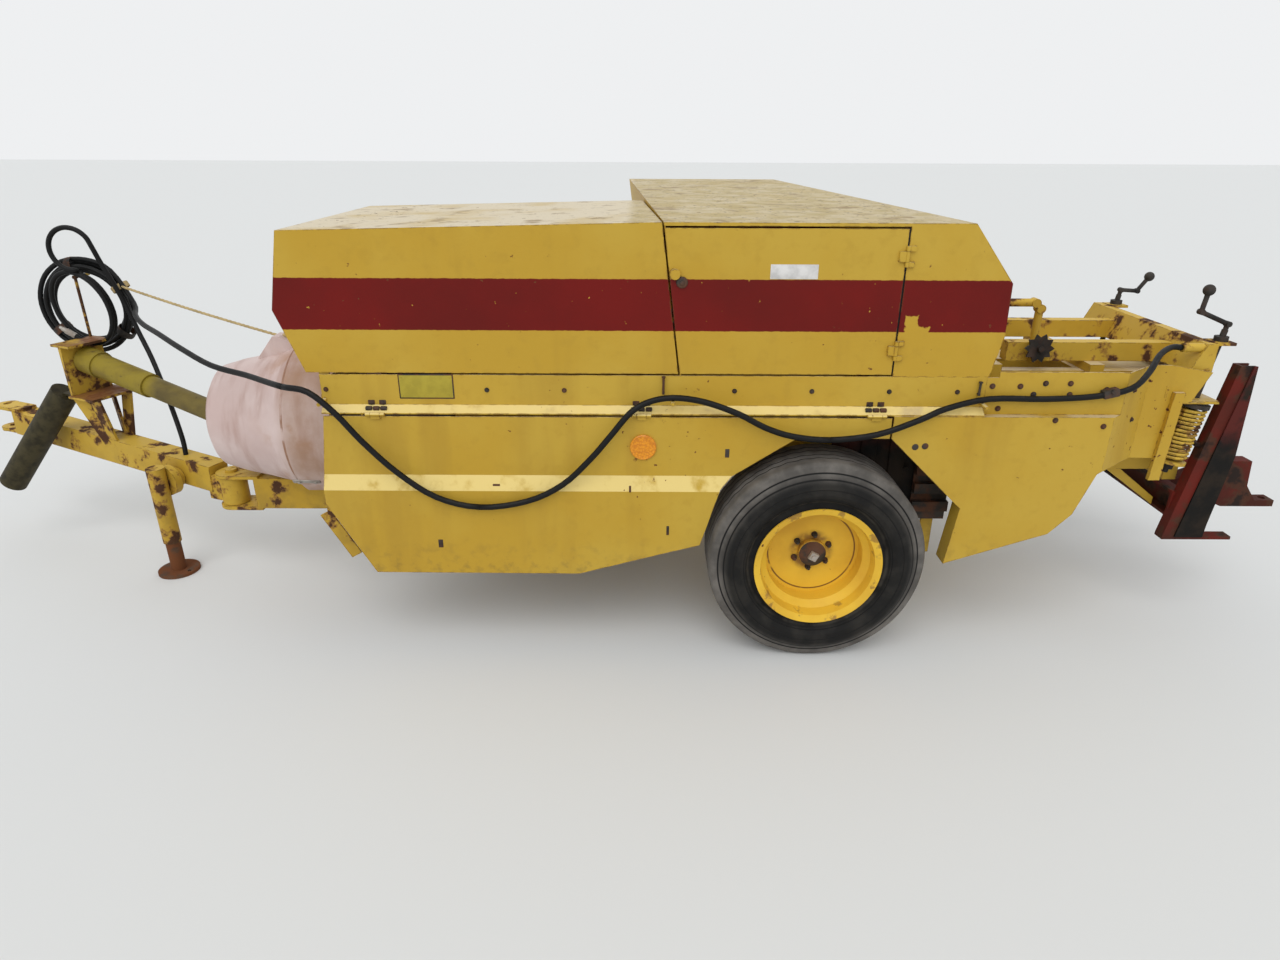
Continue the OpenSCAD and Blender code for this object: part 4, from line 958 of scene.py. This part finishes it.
def wheel_nuts(body, rim, side):
    """A ring of nuts on washers, with the ends of their studs."""
    washer = [(0, -0.001), (0.0110, -0.001), (0.0110, 0.002), (0, 0.002)]
    nut = [(0, 0.001), (0.0100, 0.001), (0.0100, 0.012), (0.0085, 0.014), (0, 0.014)]
    stud = [(0, 0.013), (0.0060, 0.013), (0.0060, 0.020), (0.005, 0.022), (0, 0.022)]
    out = Vector((0, side, 0))
    nuts = Piece(f"wheel_nuts_{body}")
    for k in range(WHEEL_NUTS):
        turn = math.tau * (k + FIRST_NUT) / WHEEL_NUTS
        x, z = NUT_CIRCLE_R * math.cos(turn), WHEEL_Z + NUT_CIRCLE_R * math.sin(turn)
        place, _ = surface(rim, x, z, side)
        nuts.turned(place, out, washer, 20)
        nuts.turned(place, out, nut, HEXAGON)
        nuts.turned(place, out, stud, 12)
    nuts.done(body, "dark_steel")


def hub(body, rim, side):
    """The ring round the middle of the rim's disc, and the square nut with its stub on it."""
    ring_profile = [
        (0, 0.001), (0.0262, 0.001), (0.0262, -0.001), (0.030, -0.001), (0.046, -0.009), (0.047, -0.005),
        (0.030, 0.005), (0.024, 0.008), (0, 0.008),
    ]
    nut_profile = [(0, 0.007), (0.020, 0.007), (0.020, 0.021), (0.017, 0.024), (0, 0.024)]
    stub_profile = [(0, 0.023), (0.009, 0.023), (0.009, 0.030), (0, 0.031)]
    out = Vector((0, side, 0))
    disc_y = surface(rim, BESIDE_HUB, WHEEL_Z, side)[0].y
    place = at(0, disc_y - CHAMBER_Y, WHEEL_Z)
    ring = Piece(f"hub_ring_{body}")
    ring.turned(place, out, ring_profile, 40)
    ring.done(body, "dark_steel")
    nut = Piece(f"hub_nut_{body}")
    nut.turned(place, out, nut_profile, 4, 0.3)
    nut.turned(place, out, stub_profile, 16)
    nut.done(body, "pale_nut")


def dress_wheels():
    for body, rim, side in (("left_wheel", "rim_left", LEFT), ("right_wheel", "rim_right", RIGHT)):
        wheel_nuts(body, rim, side)
        hub(body, rim, side)


# The near side's fittings: places as x and z, in metres

SHIELD_BOLTS = (
    (0.53, 0.975), (0.62, 0.975), (0.70, 0.985), (0.78, 0.985), (0.667, 0.948), (0.784, 0.948),
    (0.90, 0.965), (1.02, 0.95), (0.56, 0.90), (0.74, 0.87), (0.90, 0.85), (1.05, 0.84),
)
BAND_BOLTS_X = (-1.62, -1.1, -0.85, -0.3, -0.05, 0.2, 0.42)
BAND_BOLTS_Z = 0.955

# Name, place along the machine and height of each peg's top
HOSE_HOOKS = (("hose_hook_middle", -0.530, 1.003), ("hose_hook_rear", 0.487, 0.990))
HOOK_Z = 0.950
HOOK_OUT = 0.010

HINGES_X = (-1.46, -0.60, 0.16)
KNUCKLE_Z = 0.896
LEAF_Z = 0.912

FLAP_RIBS = 6
FLAP_X = 0.105
RIB_APART = 0.052

# Place, width and height of each slot in the long shield
SHIELD_SLOTS = (
    (-1.286, 0.423, 0.016, 0.030), (-0.509, 0.476, 0.009, 0.034), (-1.083, 0.639, 0.024, 0.007),
    (-0.637, 0.628, 0.007, 0.022), (-0.317, 0.751, 0.014, 0.030),
)
REAR_SLOTS = ((0.331, 0.779), (0.299, 0.776))
PLATE = (-1.295, 0.966)
REFLECTOR = (-0.594, 0.772)
STICKER = (-0.136, 1.333)
LATCH = (-0.478, 1.300)


def band_bolts():
    bolts = Piece("band_bolts")
    for x, z in SHIELD_BOLTS:
        bolts.bolt(*surface("rear_shield", x, z), r=0.0065)
    for x in BAND_BOLTS_X:
        bolts.bolt(*surface("side_band", x, BAND_BOLTS_Z), r=0.0055)
    bolts.done("chassis", "dark_steel")


def hose_hooks():
    """Pegs that stand out of the side band and turn up to the hose, with a small head."""
    arm = [(0, 0), (0.004, 0), (0.004, 0.014), (0, 0.014)]
    for name, x, top in HOSE_HOOKS:
        rise = top - HOOK_Z
        peg = [
            (0, 0), (0.004, 0), (0.004, rise), (0.0065, rise + 0.002), (0.0065, rise + 0.006),
            (0, rise + 0.006),
        ]
        hook = Piece(name)
        place, facing = surface("side_band", x, HOOK_Z)
        hook.turned(place - 0.001 * facing, facing, arm, 12)
        hook.turned(place + Vector((0, -HOOK_OUT, -0.004)), (0, 0, 1), peg, 12)
        hook.done("chassis", "dark_steel")


def panel_hinges():
    """Three hinges at the top of the long shield: knuckles over the seam and two bolted leaves above."""
    knuckle = [(0, 0), (0.0065, 0), (0.0075, 0.002), (0.0075, 0.018), (0.0065, 0.020), (0, 0.020)]
    hinges = Piece("panel_hinges")
    for x in HINGES_X:
        for dx in (-0.024, 0.0, 0.024):
            place, _ = surface("side_band", x + dx, KNUCKLE_Z)
            hinges.turned(place + Vector((-0.010, -0.003, 0)), (1, 0, 0), knuckle, 14)
        for dx in (-0.018, 0.018):
            place, facing = surface("side_band", x + dx, LEAF_Z)
            hinges.block(place, (0.022, 0.005, 0.016), bevel=0.002)
            hinges.bolt(place + 0.0023 * facing, facing, 0.0050, 0.004)
    hinges.done("chassis", "dark_steel")


def hose_clamp():
    """The bolted block that holds the hose on the rear shield."""
    clamp = Piece("hose_clamp")
    tilt = Matrix.Rotation(math.radians(-14), 4, "Y")
    clamp.block(at(0.905, -0.546, 0.9585), (0.050, 0.030, 0.027), tilt, 0.004)
    clamp.bolt(at(0.905, -0.5605, 0.966), (0, -1, 0), 0.007, 0.007)
    clamp.done("chassis", "dark_steel")


def door_seal():
    """The dark strip behind the gap between the door and the rear hood."""
    seal = Piece("door_seal")
    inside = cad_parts["rear_hood"].ray_cast(at(0.225, -0.30, 1.20), Vector((0, -1, 0)))[1]
    seal.block(inside + Vector((-0.004, 0.0015, 0.038)), (0.046, 0.004, 0.450))
    seal.done("chassis", "hose_rubber")


def cover_strap():
    """The strap with two bolts at the foot of the flywheel's cover."""
    strap = Piece("cover_strap")
    place, facing = surface("flywheel_cover", -1.862, 0.507)
    turned = flat_on(facing)
    strap.block(place, (0.104, 0.007, 0.020), turned, 0.002)
    for dx in (0.028, -0.034):
        strap.bolt(place + turned @ Vector((dx, 0.003, 0)), facing, 0.007, 0.006)
    strap.done("chassis", "pale_nut")


def shaded_arch_flap():
    """A dark flap behind the left wheel, of upright ribs that stand out by turns, with a row of bolts; its
    near black is partly painted shade, filling the arch where the floor would show through.
    """
    flap = Piece("shaded_arch_flap")
    for i in range(FLAP_RIBS):
        place = at(FLAP_X + RIB_APART * i, -0.352 + 0.006 * (i % 2), 0.622)
        flap.block(place, (0.056, 0.008, 0.37), bevel=0.003)
    for z in (0.50, 0.62, 0.74):
        flap.bolt(at(0.350, -0.356, z), (0, -1, 0), 0.010, 0.008)
    # Near-black finish: partly painted shade of the wheel arch
    flap.done("chassis", "shaded_black_plate")


def shield_slots():
    slots = Piece("shield_slots")
    for x, z, wide, high in SHIELD_SLOTS:
        place, facing = surface("front_shield", x, z)
        slots.block(place, (wide, 0.0024, high), flat_on(facing), 0.001)
    slots.done("front_shield", "dark_steel")


def rear_slots():
    profile = [(0, -0.001), (0.010, -0.001), (0.011, 0.001), (0.009, 0.002), (0, 0.001)]
    holes = Piece("rear_slots")
    for x, z in REAR_SLOTS:
        place, facing = surface("rear_shield", x, z)
        holes.turned(place, facing, profile)
    holes.done("chassis", "dark_steel")


def side_reflector():
    profile = [
        (0, -0.001), (0.043, -0.001), (0.043, 0.006), (0.040, 0.008), (0.038, 0.007), (0.020, 0.009),
        (0, 0.0095),
    ]
    place, facing = surface("front_shield", *REFLECTOR)
    lens = Piece("side_reflector")
    lens.turned(place, facing, profile, 48)
    lens.done("front_shield", "orange_lens")


def blank_plate():
    """A smooth plate on a dark rim, with a rivet at each corner."""
    rivet = [(0, 0), (0.003, 0), (0.002, 0.0018), (0, 0.002)]
    place, facing = surface("side_band", *PLATE)
    rim = Piece("blank_plate_rim")
    rim.block(place, (0.178, 0.003, 0.082), bevel=0.001)
    rim.done("chassis", "dark_steel")
    plate = Piece("blank_plate")
    plate.block(place + 0.001 * facing, (0.170, 0.003, 0.074), bevel=0.001)
    for dx in (-0.078, 0.078):
        for dz in (-0.031, 0.031):
            plate.turned(place + Vector((dx, -0.002, dz)), (0, -1, 0), rivet, 10)
    plate.done("chassis", "blank_plate")


def blank_sticker():
    sticker = Piece("blank_sticker")
    place, facing = surface("knotter_door", *STICKER)
    sticker.block(place + 0.0005 * facing, (0.146, 0.0016, 0.044), bevel=0.0006)
    sticker.done("knotter_door", "blank_sticker")


def door_latch():
    profile = [
        (0, -0.001), (0.017, -0.001), (0.018, 0.003), (0.015, 0.007), (0.007, 0.008), (0.006, 0.013),
        (0, 0.014),
    ]
    place, facing = surface("knotter_door", *LATCH)
    latch = Piece("door_latch")
    latch.turned(place, facing, profile)
    latch.done("knotter_door", "dark_steel")


set_camera()
lay_hose()
lay_second_hose()
tie_coil()
set_light()
lay_floor()
dress_nodes()
dress_wheels()
band_bolts()
hose_hooks()
panel_hinges()
hose_clamp()
door_seal()
cover_strap()
shaded_arch_flap()
shield_slots()
rear_slots()
side_reflector()
blank_plate()
blank_sticker()
door_latch()
